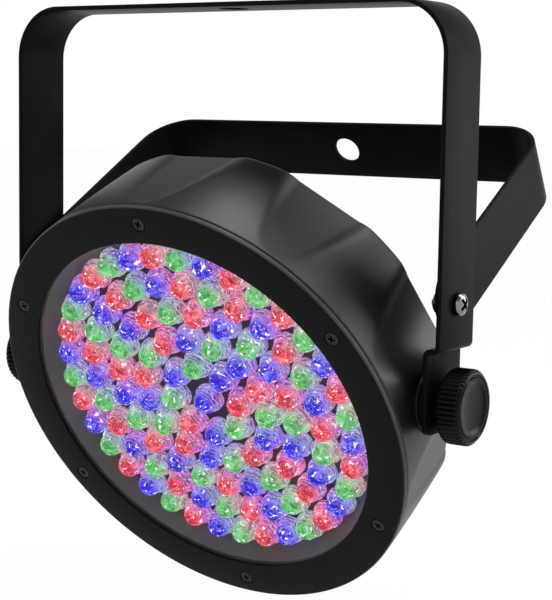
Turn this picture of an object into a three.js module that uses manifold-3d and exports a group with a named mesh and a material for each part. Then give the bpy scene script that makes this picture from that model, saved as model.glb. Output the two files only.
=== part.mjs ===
// LED par light: a slim round head with a window full of LEDs, tilting on two hand knobs in a
// hanging bracket, and a second bracket that swings out of the first to make a floor stand.
// Millimetres, +Z up. The face looks along -Y and the tilt axis lies along X.
// The origin is the centre of the clamp hole, on the top face of the hanging bracket.
import * as THREE from "three";
import { mergeVertices } from "three/addons/utils/BufferGeometryUtils.js";
import Module from "manifold-3d";

const wasm = await Module();
wasm.setup();

// Rest pose, in degrees
const headTilt = 26;
const floorLean = 59.5;

// Clearances and cutting
const seatGap = 0.3;
const holeClearance = 0.4;
const overrun = 1;
const fuseDepth = 0.6;

// Head: sizes across the face are radii, depths are measured back from the bezel's face
const faceRadius = 102;
const bodyTaper = 2;
const headDepth = 56;
const pivotDepth = 28.5;
const housingWall = 2.2;
const backWall = 2.4;
const backFillet = 3;
const facetCount = 10;
const facetHalfAngle = 11.8;
const facetStartDepth = 4;
const narrowestFacet = 1.5;
const roundColumns = 1;

// Front bezel and its screws
const bezelThickness = 2;
const bezelWidth = 17.3;
const bezelOuterRound = 0.8;
const bezelLipRound = 0.4;
const bezelLipDepth = 0.9;
const bezelScrewCount = 6;
const bezelScrewInset = 8.3;
const bezelScrewHeadRadius = 3;
const bezelScrewRadius = 1.5;
const bezelScrewLength = 6;
const bezelScrewHeadDepth = 1.5;
const tabHalfWidth = 3;
const tabDepth = 4;
const ringSegments = 36;

// Clear window, the spacer ring behind it and the LED board
const paneThickness = 1.8;
const paneOverlap = 3.7;
const spacerWall = 1.6;
const spacerFootInset = 4.1;
const ledBoardDepth = 13.2;
const ledBoardThickness = 1.6;
const ledBoardInset = 11.8;
const ledRadius = 5;
const ledSides = 5;
const ledDomeRiseShare = 0.7;
const ledDomeWaistShare = 0.55;
const ledTipGap = 0.3;
const ledRingCounts = [8, 15, 21, 28, 35];
const ledRingFirstAngles = [2, 18, 11, 7, 114.7];
const ledFirstRing = 18;
const ledEdgeRoom = 11.1;
const boardPostInset = 3.7;
const boardPostRadius = 3;
const boardPostAngles = [20, 160, 200, 340];
const boardScrewHeadRadius = 2.6;
const boardScrewHeadHeight = 2;
const boardScrewRadius = 1.5;
const boardScrewLength = 8;

// Hanging bracket: one flat strip bent to a U, with a step near each lower end
const stripWidth = 30;
const stripThickness = 2;
const headRoom = 63;
const yokeBend = 22;
const knobRoom = 6.6;
const stepInset = 5.5;
const stepBend = 1.8;
const plateDrop = 11.5;
const plateCornerRadius = 5;
const clampHoleRadius = 6.5;
const bendSegments = 7;
const stepBendSegments = 3;

// Floor bracket, inside the hanging bracket's arms
const pivotRoom = 2.5;
const floorRoom = 4.5;
const floorEndReach = 9.5;
const floorBend = 20;
const floorHoleRadius = 6.5;

// Pivot screws, washers and nuts
const pivotScrewRadius = 2.5;
const pivotHeadRadius = 4.8;
const pivotHeadHeight = 3.2;
const pivotWasherRadius = 7;
const pivotWasherThickness = 0.8;
const nutRadius = 4.6;
const nutHeight = 4;
const threadPast = 1.5;
const crossWidth = 1.1;
const crossShare = 0.62;
const crossDepthShare = 0.55;
const panRimShare = 0.45;
const panShoulderShare = 0.72;
const panShoulderRiseShare = 0.88;
const panTopShare = 0.4;

// Hand knobs, their studs, inserts and friction washers
const knobRadius = 15.9;
const knobRimWidth = 8.8;
const knobShoulder = 1.2;
const knobFaceInset = 1.5;
const knobHubRadius = 9.5;
const knobHubLength = 4.1;
const knobDishInset = 4.7;
const knobDishDepth = 1.4;
const knobGrooveInset = 2.9;
const knobGrooveWidth = 0.8;
const knobGrooveDepth = 0.5;
const fluteCount = 46;
const fluteDepth = 0.8;
const studRadius = 4;
const studDepthInHead = 14;
const studDepthInKnob = 8;
const insertWall = 2.5;
const insertLength = 16;
const sideBossRadius = 13;
const sideBossProud = 0.5;
const innerBossWall = 2.5;
const frictionWasherInset = 1;
const frictionWasherThickness = 2.4;

// Rear cover and what it carries
const coverInset = 18;
const coverThickness = 1.5;
const coverSeatWidth = 12;
const coverScrewCount = 6;
const coverScrewHeadRadius = 2.8;
const coverScrewHeadHeight = 2;
const coverScrewRadius = 1.5;
const coverScrewLength = 7;
const coverBossRadius = 3.6;
const coverBossLength = 6;
const ventSlotCount = 4;
const ventSlotLength = 20;
const ventSlotWidth = 3;
const ventSlotPitch = 6;
const ventInnerX = 45;
const ventHeight = 14;
const displayWidth = 40;
const displayHeight = 15;
const displayHeightOnCover = 50;
const displayProud = 0.8;
const buttonCount = 4;
const buttonPitch = 15;
const buttonHeightOnCover = 30;
const buttonRadius = 2.9;
const buttonProud = 2.2;
const buttonTravel = 1.2;
const buttonFlange = 1;
const buttonFlangeThickness = 1;
const socketHeightOnCover = -2;
const socketSpacing = 23;
const socketFlangeSide = 1.2;
const socketFlangeEnd = 3.7;
const socketFlangeThickness = 2;
const socketBodyRadius = 11.8;
const socketBodyLength = 22;
const socketCornerRadius = 3;
const socketWall = 3;
const socketBoreDepth = 12;
const pinRadius = 1.2;
const pinCircle = 4.1;
const pinLength = 7;
const latchWidth = 8;
const latchHeight = 4;
const latchTravel = 1.5;
const latchProud = 1.7;
const latchShank = 6;
const latchRoom = 0.9;
const powerHeightOnCover = -39;
const powerSpacing = 19;
const powerFlangeEdge = 2;
const powerFlangeThickness = 2;
const powerBodySide = 2.5;
const powerBodyEnd = 3.5;
const powerBodyLength = 24;
const powerCavityWidth = 22;
const powerCavityHeight = 13;
const powerCavityDepth = 15;
const powerCornerRadius = 2;
const bladeWidth = 4;
const bladeThickness = 2;
const bladeLength = 10;
const bladeSpacing = 7;
const fuseDrawerHeight = 7;
const fuseDrawerWidth = 20;
const fuseDrawerLength = 16;
const fuseDrawerProud = 0.8;
const fuseDrawerLip = 1.2;
const fuseBayHeight = 10;

// Circuit boards inside the head
const boardThickness = 1.6;
const powerBoardWidth = 92;
const powerBoardHeight = 44;
const powerBoardCentreZ = 9;
const powerBoardRoom = 32;
const transformerWidth = 30;
const transformerHeight = 24;
const transformerTall = 12;
const capacitorRadius = 8;
const capacitorHeight = 9;
const controlBoardWidth = 72;
const controlBoardHeight = 40;
const controlBoardRoom = 9;
const switchSize = 6;
const spacerLegRadius = 2.5;
const legInset = 4;
const ribbonWidth = 12;
const ribbonThickness = 1;
const ribbonBend = 2;
const ribbonX = 30;

// Safety loop on the rear cover
const loopRod = 2.2;
const loopWidth = 22;
const loopHeight = 13;
const loopBend = 6;
const loopEdgeInset = 12;
const loopFootRadius = 3.4;
const loopFootHeight = 2;

// Colours
const paint = { color: 0x17171a, roughness: 0.55, metalness: 0.2 };
const shellPlastic = { color: 0x1c1c1f, roughness: 0.5, metalness: 0 };
const knobPlastic = { color: 0x131315, roughness: 0.45, metalness: 0 };
const chrome = { color: 0xd8d8dc, roughness: 0.15, metalness: 1 };
const blackSteel = { color: 0x222225, roughness: 0.4, metalness: 0.8 };
const brass = { color: 0xb08d4a, roughness: 0.35, metalness: 1 };
const rubber = { color: 0x111112, roughness: 0.9, metalness: 0 };
const nylon = { color: 0xd9d6cc, roughness: 0.6, metalness: 0 };
const clearPlastic = { color: 0xe8f0f4, roughness: 0.05, metalness: 0, transparent: true, opacity: 0.25 };
const greyPlastic = { color: 0x545250, roughness: 0.6, metalness: 0 };
const greenBoard = { color: 0x1f5a37, roughness: 0.5, metalness: 0 };
const darkGlass = { color: 0x1a0708, roughness: 0.1, metalness: 0 };
const zinc = { color: 0xb9bcc0, roughness: 0.35, metalness: 1 };

// Worked-out sizes of the head
const backRadius = faceRadius - bodyTaper;
const windowRadius = faceRadius - bezelWidth;
const bezelScrewCircle = faceRadius - bezelScrewInset;
const bezelBack = bezelThickness + seatGap;
const paneFront = bezelLipDepth + seatGap;
const paneBack = paneFront + paneThickness;
const paneRadius = windowRadius + paneOverlap;
const spacerFootRadius = windowRadius - spacerFootInset;
const ledBoardRadius = faceRadius - ledBoardInset;
const ledBoardBack = ledBoardDepth + ledBoardThickness;
const ledRingPitch = (windowRadius - ledEdgeRoom - ledFirstRing) / (ledRingCounts.length - 1);
const boardPostCircle = ledBoardRadius - boardPostInset;
const coverFront = headDepth + seatGap;
const coverBack = coverFront + coverThickness;
const coverRadius = backRadius - coverInset;
const coverOpeningRadius = coverRadius - coverSeatWidth;
const coverScrewCircle = coverRadius - coverSeatWidth / 2;
const loopZ = coverRadius - loopEdgeInset;
const powerBoardDepth = headDepth - powerBoardRoom;
const controlBoardDepth = headDepth - controlBoardRoom;
const socketFlangeWidth = 2 * (socketBodyRadius + socketFlangeSide);
const socketFlangeHeight = 2 * (socketBodyRadius + socketFlangeEnd);
const socketBoreRadius = socketBodyRadius - socketWall;
const latchOffset = socketBoreRadius + latchRoom + latchHeight / 2;
const powerBodyWidth = powerCavityWidth + 2 * powerBodySide;
const powerBodyHeight = powerCavityHeight + 2 * powerBodyEnd;
const powerFlangeWidth = powerBodyWidth + 2 * powerFlangeEdge;
const powerFlangeHeight = powerBodyHeight + 2 * powerFlangeEdge;

// Worked-out sizes of the knobs and the brackets
const knobFaceRadius = knobRadius - knobFaceInset;
const knobDishRadius = knobRadius - knobDishInset;
const knobGrooveRadius = knobRadius - knobGrooveInset;
const insertRadius = studRadius + insertWall;
const innerBossRadius = insertRadius + innerBossWall;
const frictionWasherRadius = sideBossRadius - frictionWasherInset;
const bossFaceX = faceRadius + sideBossProud;
const plateInnerX = bossFaceX + frictionWasherThickness + 2 * seatGap;
const plateOuterX = plateInnerX + stripThickness;
const yokeHalfWidth = plateOuterX + stepInset;
const floorHalfWidth = yokeHalfWidth - stripThickness - pivotWasherThickness - 2 * seatGap;
const tiltDrop = faceRadius + headRoom;
const stepRise = knobRadius + knobRoom;
const pivotRise = stepRise + stripThickness + stripWidth / 2 + pivotRoom;
const floorLength = tiltDrop - pivotRise - stripThickness - floorRoom;

const degrees = (angle) => THREE.MathUtils.degToRad(angle);
const headY = (depth) => depth - pivotDepth;
const onCircle = (radius, angle) => [radius * Math.cos(degrees(angle)), radius * Math.sin(degrees(angle))];
const evenAngles = (count, first) => Array.from({ length: count }, (_, i) => first + (360 / count) * i);

// Turns a geometry into a solid for joining and cutting, with its faces pointing out
function asSolid(geometry) {
  const bare = geometry.clone();
  bare.deleteAttribute("normal");
  bare.deleteAttribute("uv");
  const merged = mergeVertices(bare);
  const corners = [];
  for (let i = 0; i < merged.index.count; i += 3) {
    const [a, b, c] = [0, 1, 2].map((k) => merged.index.getX(i + k));
    if (a !== b && b !== c && c !== a) corners.push(a, b, c);
  }
  const places = merged.attributes.position;
  const at = (i) => new THREE.Vector3().fromBufferAttribute(places, i);
  let volume = 0;
  for (let i = 0; i < corners.length; i += 3) {
    volume += at(corners[i]).dot(at(corners[i + 1]).cross(at(corners[i + 2])));
  }
  if (volume < 0) corners.reverse();
  const vertProperties = new Float32Array(places.array);
  return new wasm.Manifold(new wasm.Mesh({ numProp: 3, vertProperties, triVerts: new Uint32Array(corners) }));
}

function asGeometry(solid) {
  const mesh = solid.getMesh();
  const geometry = new THREE.BufferGeometry();
  geometry.setAttribute("position", new THREE.BufferAttribute(new Float32Array(mesh.vertProperties), 3));
  geometry.setIndex(new THREE.BufferAttribute(new Uint32Array(mesh.triVerts), 1));
  geometry.computeVertexNormals();
  return geometry;
}

const joined = (base, pieces) => pieces.reduce((solid, piece) => solid.add(asSolid(piece)), base);
const cut = (base, tools) => tools.reduce((solid, tool) => solid.subtract(asSolid(tool)), base);

// A turned shape about Y: each profile point is [radius, place along Y]
function turned(profile, segments) {
  return new THREE.LatheGeometry(profile.map(([radius, y]) => new THREE.Vector2(radius, y)), segments);
}

// A round rod along Y from one place to another
function rodY(radius, from, to, segments = 20) {
  return turned([[0, from], [radius, from], [radius, to], [0, to]], segments);
}

const rodX = (radius, from, to, segments) => rodY(radius, from, to, segments).rotateZ(-Math.PI / 2);
const rodZ = (radius, from, to, segments) => rodY(radius, from, to, segments).rotateX(Math.PI / 2);

// A box from its middle in X and Z, and its two ends along Y
function slabY(width, height, from, to, x = 0, z = 0) {
  return new THREE.BoxGeometry(width, to - from, height).translate(x, (from + to) / 2, z);
}

// A rectangle with round corners, extruded along Y
function roundedPlateY(width, height, corner, from, to, x = 0, z = 0, arcSteps = 4) {
  const shape = new THREE.Shape();
  const [w, h] = [width / 2, height / 2];
  shape.moveTo(-w + corner, -h);
  shape.lineTo(w - corner, -h);
  shape.absarc(w - corner, -h + corner, corner, -Math.PI / 2, 0, false);
  shape.lineTo(w, h - corner);
  shape.absarc(w - corner, h - corner, corner, 0, Math.PI / 2, false);
  shape.lineTo(-w + corner, h);
  shape.absarc(-w + corner, h - corner, corner, Math.PI / 2, Math.PI, false);
  shape.lineTo(-w, -h + corner);
  shape.absarc(-w + corner, -h + corner, corner, Math.PI, Math.PI * 1.5, false);
  const options = { depth: to - from, bevelEnabled: false, curveSegments: arcSteps };
  return new THREE.ExtrudeGeometry(shape, options).rotateX(Math.PI / 2).translate(x, to, z);
}

// The outline of a strip bent along a path of corners [x, z, bend radius at mid thickness, steps]
function bentStripShape(path, thickness) {
  const corners = path.map(([x, z]) => new THREE.Vector2(x, z));
  const sides = [[], []];
  const half = thickness / 2;
  const ways = corners.slice(1).map((corner, i) => corner.clone().sub(corners[i]).normalize());
  const leftOf = (way) => new THREE.Vector2(-way.y, way.x);
  corners.forEach((corner, i) => {
    const before = ways[Math.max(i - 1, 0)];
    const after = ways[Math.min(i, ways.length - 1)];
    const turn = Math.atan2(before.cross(after), before.dot(after));
    if (i === 0 || i === corners.length - 1 || turn === 0) {
      const [side, way] = [leftOf(before), half];
      sides[0].push(corner.clone().addScaledVector(side, way));
      sides[1].push(corner.clone().addScaledVector(side, way - thickness));
      return;
    }
    const [bend, steps] = path[i].slice(2);
    const start = corner.clone().addScaledVector(before, -bend * Math.tan(Math.abs(turn) / 2));
    const towards = Math.sign(turn);
    const centre = start.clone().addScaledVector(leftOf(before), towards * bend);
    for (let step = 0; step <= steps; step += 1) {
      const out = leftOf(before).rotateAround(new THREE.Vector2(), (turn * step) / steps);
      sides.forEach((side, s) => {
        const reach = -towards * bend + half - s * thickness;
        side.push(centre.clone().addScaledVector(out, reach));
      });
    }
  });
  return new THREE.Shape([...sides[0], ...sides[1].reverse()]);
}

// A bent strip whose outline lies in X and Z and whose width runs along Y
function bentStrip(path, thickness, width) {
  const shape = bentStripShape(path, thickness);
  const strip = new THREE.ExtrudeGeometry(shape, { depth: width, bevelEnabled: false });
  return strip.rotateX(Math.PI / 2).translate(0, width / 2, 0);
}

// A cross recess, sunk down from a head's top at Y = top, pointing along -Y
function crossRecess(headRadius, top, depth) {
  const reach = 2 * headRadius * crossShare;
  return [
    slabY(reach, crossWidth, top - depth, top + overrun),
    slabY(crossWidth, reach, top - depth, top + overrun),
  ];
}

const root = new THREE.Group();
const head = new THREE.Group();
head.position.z = -tiltDrop;
head.rotation.x = degrees(headTilt);
root.add(head);

function addPiece(group, name, shape, look) {
  const geometry = shape instanceof THREE.BufferGeometry ? asGeometry(asSolid(shape)) : asGeometry(shape);
  const mesh = new THREE.Mesh(geometry, new THREE.MeshStandardMaterial(look));
  mesh.name = name;
  group.add(mesh);
  return mesh;
}

// Radius of the round body at a depth, and of the flat facets that cut it towards the back
const bodyRadius = (depth) => faceRadius + ((backRadius - faceRadius) * depth) / headDepth;

function facetRadius(depth) {
  const start = bodyRadius(facetStartDepth);
  const end = backRadius * Math.cos(degrees(facetHalfAngle));
  const along = (depth - facetStartDepth) / (headDepth - facetStartDepth);
  return Math.min(bodyRadius(depth), start + (end - start) * along);
}

// One ring of points round the housing: facet edge, facet middle, facet edge, then the round rest
function housingRing(depth, placeAt) {
  const round = bodyRadius(depth);
  const flat = facetRadius(depth);
  const half = Math.max(narrowestFacet, THREE.MathUtils.radToDeg(Math.acos(flat / round)));
  const pitch = 360 / facetCount;
  return evenAngles(facetCount, 90).flatMap((middle) => {
    const columns = [[-half, round], [0, flat], [half, round]];
    for (let k = 1; k <= roundColumns; k += 1) {
      columns.push([half + ((pitch - 2 * half) * k) / (roundColumns + 1), round]);
    }
    return columns.map(([angle, radius]) => placeAt(radius, middle + angle));
  });
}

// A closed ring-shaped solid through rows of points that join up at both ends
function ringSolid(rows) {
  const columns = rows[0].length;
  const corners = [];
  rows.forEach((row, r) => {
    const next = (r + 1) % rows.length;
    row.forEach((_, c) => {
      const across = (c + 1) % columns;
      const [a, b] = [r * columns + c, r * columns + across];
      const [d, e] = [next * columns + c, next * columns + across];
      corners.push(a, b, e, a, e, d);
    });
  });
  const geometry = new THREE.BufferGeometry();
  geometry.setAttribute("position", new THREE.Float32BufferAttribute(rows.flat(2), 3));
  geometry.setIndex(corners);
  return geometry;
}

function housingShell() {
  const skin = (depth, inset, atDepth = depth) => housingRing(depth, (radius, angle) => {
    const [x, z] = onCircle(radius - inset, angle);
    return [x, headY(atDepth), z];
  });
  const opening = (atDepth) => housingRing(headDepth, (radius, angle) => {
    const [x, z] = onCircle(coverOpeningRadius, angle);
    return [x, headY(atDepth), z];
  });
  const edge = headDepth - backFillet;
  const inside = headDepth - backWall;
  const diagonal = backFillet * Math.SQRT1_2;
  return ringSolid([
    skin(bezelBack, 0),
    skin((bezelBack + pivotDepth) / 2, 0),
    skin(pivotDepth, 0),
    skin(edge, 0),
    skin(edge, backFillet - diagonal, edge + diagonal),
    skin(edge, backFillet, headDepth),
    opening(headDepth),
    opening(inside),
    skin(inside, housingWall),
    skin(bezelBack, housingWall),
  ]);
}

// A tab for a bezel screw, standing in from the side wall
function bezelTab(angle) {
  const inner = bezelScrewCircle - tabHalfWidth;
  const outer = bodyRadius(bezelBack) - housingWall + fuseDepth;
  const from = headY(bezelBack);
  const tab = slabY(outer - inner, 2 * tabHalfWidth, from, from + tabDepth, (inner + outer) / 2, 0);
  return tab.rotateY(-degrees(angle));
}

function rearHousing() {
  const tabAngles = evenAngles(bezelScrewCount, 90);
  let solid = joined(asSolid(housingShell()), tabAngles.map(bezelTab));
  for (const angle of boardPostAngles) {
    const [x, z] = onCircle(boardPostCircle, angle);
    const [from, to] = [headY(ledBoardBack + seatGap), headY(headDepth - backWall + fuseDepth)];
    solid = joined(solid, [rodY(boardPostRadius, from, to, 6).translate(x, 0, z)]);
  }
  for (const angle of evenAngles(coverScrewCount, 0)) {
    const [x, z] = onCircle(coverScrewCircle, angle);
    const to = headY(headDepth - backWall + fuseDepth);
    solid = joined(solid, [rodY(coverBossRadius, to - coverBossLength, to, 6).translate(x, 0, z)]);
  }
  for (const sign of [-1, 1]) {
    const wall = bodyRadius(pivotDepth) - housingWall + fuseDepth;
    const insertEnd = bossFaceX - insertLength;
    solid = joined(solid, [
      rodX(sideBossRadius, sign * wall, sign * bossFaceX, 16),
      rodX(innerBossRadius, sign * (insertEnd - housingWall), sign * wall, 12),
    ]);
    solid = cut(solid, [
      rodX(insertRadius + seatGap, sign * (insertEnd - seatGap), sign * (bossFaceX + overrun), 12),
      rodX(studRadius + holeClearance, sign * (insertEnd - housingWall - overrun), sign * bossFaceX, 12),
    ]);
  }
  const screwHole = (circle, radius, from, to) => (angle) => (
    rodY(radius + seatGap, headY(from), headY(to), 6).translate(circle, 0, 0).rotateY(-degrees(angle))
  );
  const bezelHole = screwHole(
    bezelScrewCircle, bezelScrewRadius, bezelBack - overrun, bezelBack + tabDepth + overrun);
  const postHole = screwHole(
    boardPostCircle, boardScrewRadius, ledBoardBack - overrun, ledBoardDepth + boardScrewLength + seatGap);
  const coverHole = screwHole(
    coverScrewCircle, coverScrewRadius, coverBack - coverScrewLength - seatGap, headDepth + overrun);
  solid = cut(solid, tabAngles.map(bezelHole));
  solid = cut(solid, boardPostAngles.map(postHole));
  return cut(solid, evenAngles(coverScrewCount, 0).map(coverHole));
}

function frontBezel() {
  const rabbet = paneRadius + seatGap;
  const round = bezelOuterRound;
  const ring = turned([
    [windowRadius, headY(bezelLipDepth)],
    [windowRadius, headY(bezelLipRound)],
    [windowRadius + bezelLipRound, headY(0)],
    [faceRadius - round, headY(0)],
    [faceRadius, headY(round)],
    [faceRadius, headY(bezelThickness)],
    [rabbet, headY(bezelThickness)],
    [rabbet, headY(bezelLipDepth)],
    [windowRadius, headY(bezelLipDepth)],
  ], ringSegments);
  const sink = bezelScrewHeadDepth + seatGap;
  const headHole = bezelScrewHeadRadius + seatGap;
  const shankHole = bezelScrewRadius + seatGap;
  return cut(asSolid(ring), evenAngles(bezelScrewCount, 90).map((angle) => {
    const [x, z] = onCircle(bezelScrewCircle, angle);
    return turned([
      [0, headY(-overrun)],
      [headHole, headY(-overrun)],
      [headHole, headY(0)],
      [shankHole, headY(sink)],
      [shankHole, headY(bezelThickness + overrun)],
      [0, headY(bezelThickness + overrun)],
    ], 6).rotateY(-degrees(angle)).translate(x, 0, z);
  }));
}

// Countersunk screw with its head flush with Y = 0, pointing along +Y
function countersunkScrew(headRadius, sinkDepth, radius, length) {
  const screw = turned([
    [0, 0],
    [headRadius, 0],
    [radius, sinkDepth],
    [radius, length],
    [0, length],
  ], 6);
  const recess = crossRecess(headRadius, 0, sinkDepth * crossDepthShare);
  recess.forEach((tool) => tool.rotateX(Math.PI));
  return cut(asSolid(screw), recess);
}

// Pan-head screw: shank along -Y from the seat at Y = 0, head above it
function panHeadScrew(headRadius, headHeight, radius, length, segments) {
  return turned([
    [0, -length],
    [radius, -length],
    [radius, 0],
    [headRadius, 0],
    [headRadius, headHeight * panRimShare],
    [headRadius * panShoulderShare, headHeight * panShoulderRiseShare],
    [headRadius * panTopShare, headHeight],
    [0, headHeight],
  ], segments);
}

function windowSpacer() {
  const top = headY(paneBack + seatGap);
  const foot = headY(ledBoardDepth - seatGap);
  return turned([
    [windowRadius, top],
    [paneRadius, top],
    [paneRadius, top + spacerWall],
    [windowRadius + spacerWall, top + spacerWall],
    [spacerFootRadius + spacerWall, foot],
    [spacerFootRadius, foot],
    [windowRadius, top],
  ], ringSegments);
}

// One LED: a round body with a domed tip, standing on the board towards -Y
function ledAt(x, z) {
  const base = headY(ledBoardDepth) + fuseDepth;
  const tip = headY(paneBack + ledTipGap);
  const shoulder = tip + ledRadius * ledDomeRiseShare;
  return turned([
    [0, tip],
    [ledRadius * ledDomeWaistShare, tip],
    [ledRadius, shoulder],
    [ledRadius, base],
    [0, base],
  ], ledSides).translate(x, 0, z);
}

function ledPlaces() {
  const rings = ledRingCounts.map((count, ring) => {
    const radius = ledFirstRing + ledRingPitch * ring;
    return evenAngles(count, ledRingFirstAngles[ring]).map((angle) => onCircle(radius, angle));
  });
  return [[0, 0], ...rings.flat()];
}

function ledBoard() {
  const board = rodY(ledBoardRadius, headY(ledBoardDepth), headY(ledBoardBack), ringSegments);
  const holes = boardPostAngles.map((angle) => {
    const [from, to] = [headY(ledBoardDepth - overrun), headY(ledBoardBack + overrun)];
    const hole = rodY(boardScrewRadius + seatGap, from, to, 6).translate(boardPostCircle, 0, 0);
    return hole.rotateY(-degrees(angle));
  });
  const leds = ledPlaces().map(([x, z]) => asSolid(ledAt(x, z)));
  return wasm.Manifold.union([cut(asSolid(board), holes), ...leds]);
}

function buildHeadFront() {
  addPiece(head, "rear_housing", rearHousing(), shellPlastic);
  addPiece(head, "front_bezel", frontBezel(), shellPlastic);
  const pane = rodY(paneRadius, headY(paneFront), headY(paneBack), ringSegments);
  addPiece(head, "clear_window", pane, clearPlastic);
  addPiece(head, "window_spacer", windowSpacer(), greyPlastic);
  addPiece(head, "led_board", ledBoard(), greyPlastic);
  evenAngles(bezelScrewCount, 90).forEach((angle, i) => {
    const [x, z] = onCircle(bezelScrewCircle, angle);
    const screw = countersunkScrew(
      bezelScrewHeadRadius, bezelScrewHeadDepth, bezelScrewRadius, bezelScrewLength);
    const piece = addPiece(head, `bezel_screw_${i + 1}`, screw, blackSteel);
    piece.position.set(x, headY(0), z);
    piece.rotation.y = -degrees(angle);
  });
  boardPostAngles.forEach((angle, i) => {
    const [x, z] = onCircle(boardPostCircle, angle);
    const screw = panHeadScrew(
      boardScrewHeadRadius, boardScrewHeadHeight, boardScrewRadius, boardScrewLength, 6);
    const piece = addPiece(head, `board_screw_${i + 1}`, screw.rotateY(degrees(angle)), zinc);
    piece.position.set(x, headY(ledBoardDepth - seatGap), z);
    piece.rotation.x = Math.PI;
  });
}

// Where the sockets and inlets pass through the rear cover
const firstButton = -((buttonCount - 1) / 2) * buttonPitch;
const buttonPlaces = Array.from({ length: buttonCount }, (_, i) => firstButton + i * buttonPitch);
const latchZ = socketHeightOnCover + latchOffset;
const fuseBayZ = powerHeightOnCover - (powerBodyHeight + fuseBayHeight) / 2;
const inletMiddleZ = powerHeightOnCover - fuseBayHeight / 2;

// Holes and slots through the rear cover
function coverCutters() {
  const [from, to] = [headY(coverFront - overrun), headY(coverBack + overrun)];
  const spare = 2 * holeClearance;
  const window = (width, height, x, z) => slabY(width + spare, height + spare, from, to, x, z);
  const round = (radius, x, z, segments) => (
    rodY(radius + holeClearance, from, to, segments).translate(x, 0, z)
  );
  const tools = [
    window(displayWidth, displayHeight, 0, displayHeightOnCover),
    window(latchWidth, latchHeight, socketSpacing, latchZ),
    window(powerBodyWidth, powerBodyHeight, powerSpacing, powerHeightOnCover),
    window(powerBodyWidth, powerBodyHeight + fuseBayHeight, -powerSpacing, inletMiddleZ),
    round(socketBodyRadius, -socketSpacing, socketHeightOnCover, 16),
    round(socketBodyRadius, socketSpacing, socketHeightOnCover, 16),
  ];
  buttonPlaces.forEach((x) => tools.push(round(buttonRadius, x, buttonHeightOnCover, 10)));
  for (let i = 0; i < ventSlotCount; i += 1) {
    const x = ventInnerX + ventSlotPitch * i;
    tools.push(slabY(ventSlotWidth, ventSlotLength, from, to, x, ventHeight));
    tools.push(slabY(ventSlotWidth, ventSlotLength, from, to, -x, ventHeight));
  }
  evenAngles(coverScrewCount, 0).forEach((angle) => {
    const [x, z] = onCircle(coverScrewCircle, angle);
    tools.push(rodY(coverScrewRadius + seatGap, from, to, 6).translate(x, 0, z));
  });
  return tools;
}

const flangeSeat = coverBack + seatGap;
const socketFace = flangeSeat + socketFlangeThickness;
const powerFace = flangeSeat + powerFlangeThickness;

// The flange and round body of a three-pin panel socket
function socketBlank(x) {
  const flange = roundedPlateY(
    socketFlangeWidth, socketFlangeHeight, socketCornerRadius,
    headY(flangeSeat), headY(socketFace), x, socketHeightOnCover, 3);
  const body = rodY(socketBodyRadius, headY(socketFace - socketBodyLength), headY(socketFace), 16);
  return joined(asSolid(flange), [body.translate(x, 0, socketHeightOnCover)]);
}

function contactPlaces(x) {
  return evenAngles(3, -90).map((angle) => {
    const [dx, dz] = onCircle(pinCircle, angle);
    return [x + dx, socketHeightOnCover + dz];
  });
}

function dataInput() {
  const floor = socketFace - socketBoreDepth;
  const bore = rodY(socketBoreRadius, headY(floor), headY(socketFace + overrun), 14);
  const blank = cut(socketBlank(-socketSpacing), [bore.translate(-socketSpacing, 0, socketHeightOnCover)]);
  return joined(blank, contactPlaces(-socketSpacing).map(([x, z]) => (
    rodY(pinRadius, headY(floor - fuseDepth), headY(floor + pinLength), 6).translate(x, 0, z)
  )));
}

function dataOutput() {
  const floor = socketFace - socketBoreDepth;
  const bore = rodY(socketBoreRadius, headY(floor), headY(socketFace + overrun), 14);
  const insertRadius = socketBoreRadius - pinRadius;
  const insert = rodY(insertRadius, headY(floor - fuseDepth), headY(socketFace - overrun), 14);
  let solid = cut(socketBlank(socketSpacing), [bore.translate(socketSpacing, 0, socketHeightOnCover)]);
  solid = joined(solid, [insert.translate(socketSpacing, 0, socketHeightOnCover)]);
  const sleeves = contactPlaces(socketSpacing).map(([x, z]) => (
    rodY(pinRadius + seatGap, headY(floor + seatGap), headY(socketFace + overrun), 6).translate(x, 0, z)
  ));
  const pocket = slabY(
    latchWidth + 2 * seatGap, latchHeight + 2 * seatGap,
    headY(socketFace - latchShank - latchTravel - seatGap), headY(socketFace + overrun),
    socketSpacing, latchZ);
  return cut(solid, [...sleeves, pocket]);
}

function dataLatch() {
  const [from, to] = [headY(socketFace - latchShank), headY(socketFace + latchProud)];
  return roundedPlateY(latchWidth, latchHeight, latchProud / 2, from, to, socketSpacing, latchZ, 3);
}

// Mains inlet with three blades in a recess and a bay for the fuse drawer under it
function powerInlet() {
  const x = -powerSpacing;
  const flange = roundedPlateY(
    powerFlangeWidth, powerFlangeHeight + fuseBayHeight, powerCornerRadius,
    headY(flangeSeat), headY(powerFace), x, inletMiddleZ, 2);
  const body = slabY(
    powerBodyWidth, powerBodyHeight + fuseBayHeight,
    headY(powerFace - powerBodyLength), headY(flangeSeat) + fuseDepth, x, inletMiddleZ);
  const recess = roundedPlateY(
    powerCavityWidth, powerCavityHeight, powerCornerRadius,
    headY(powerFace - powerCavityDepth), headY(powerFace + overrun), x, powerHeightOnCover, 2);
  const bay = slabY(
    fuseDrawerWidth + 2 * seatGap, fuseDrawerHeight + 2 * seatGap,
    headY(powerFace - fuseDrawerLength - seatGap), headY(powerFace + overrun), x, fuseBayZ);
  const solid = cut(joined(asSolid(flange), [body]), [recess, bay]);
  const floor = powerFace - powerCavityDepth;
  return joined(solid, [-1, 0, 1].map((place) => slabY(
    bladeThickness, bladeWidth, headY(floor - fuseDepth), headY(floor + bladeLength),
    x + place * bladeSpacing, powerHeightOnCover)));
}

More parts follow.
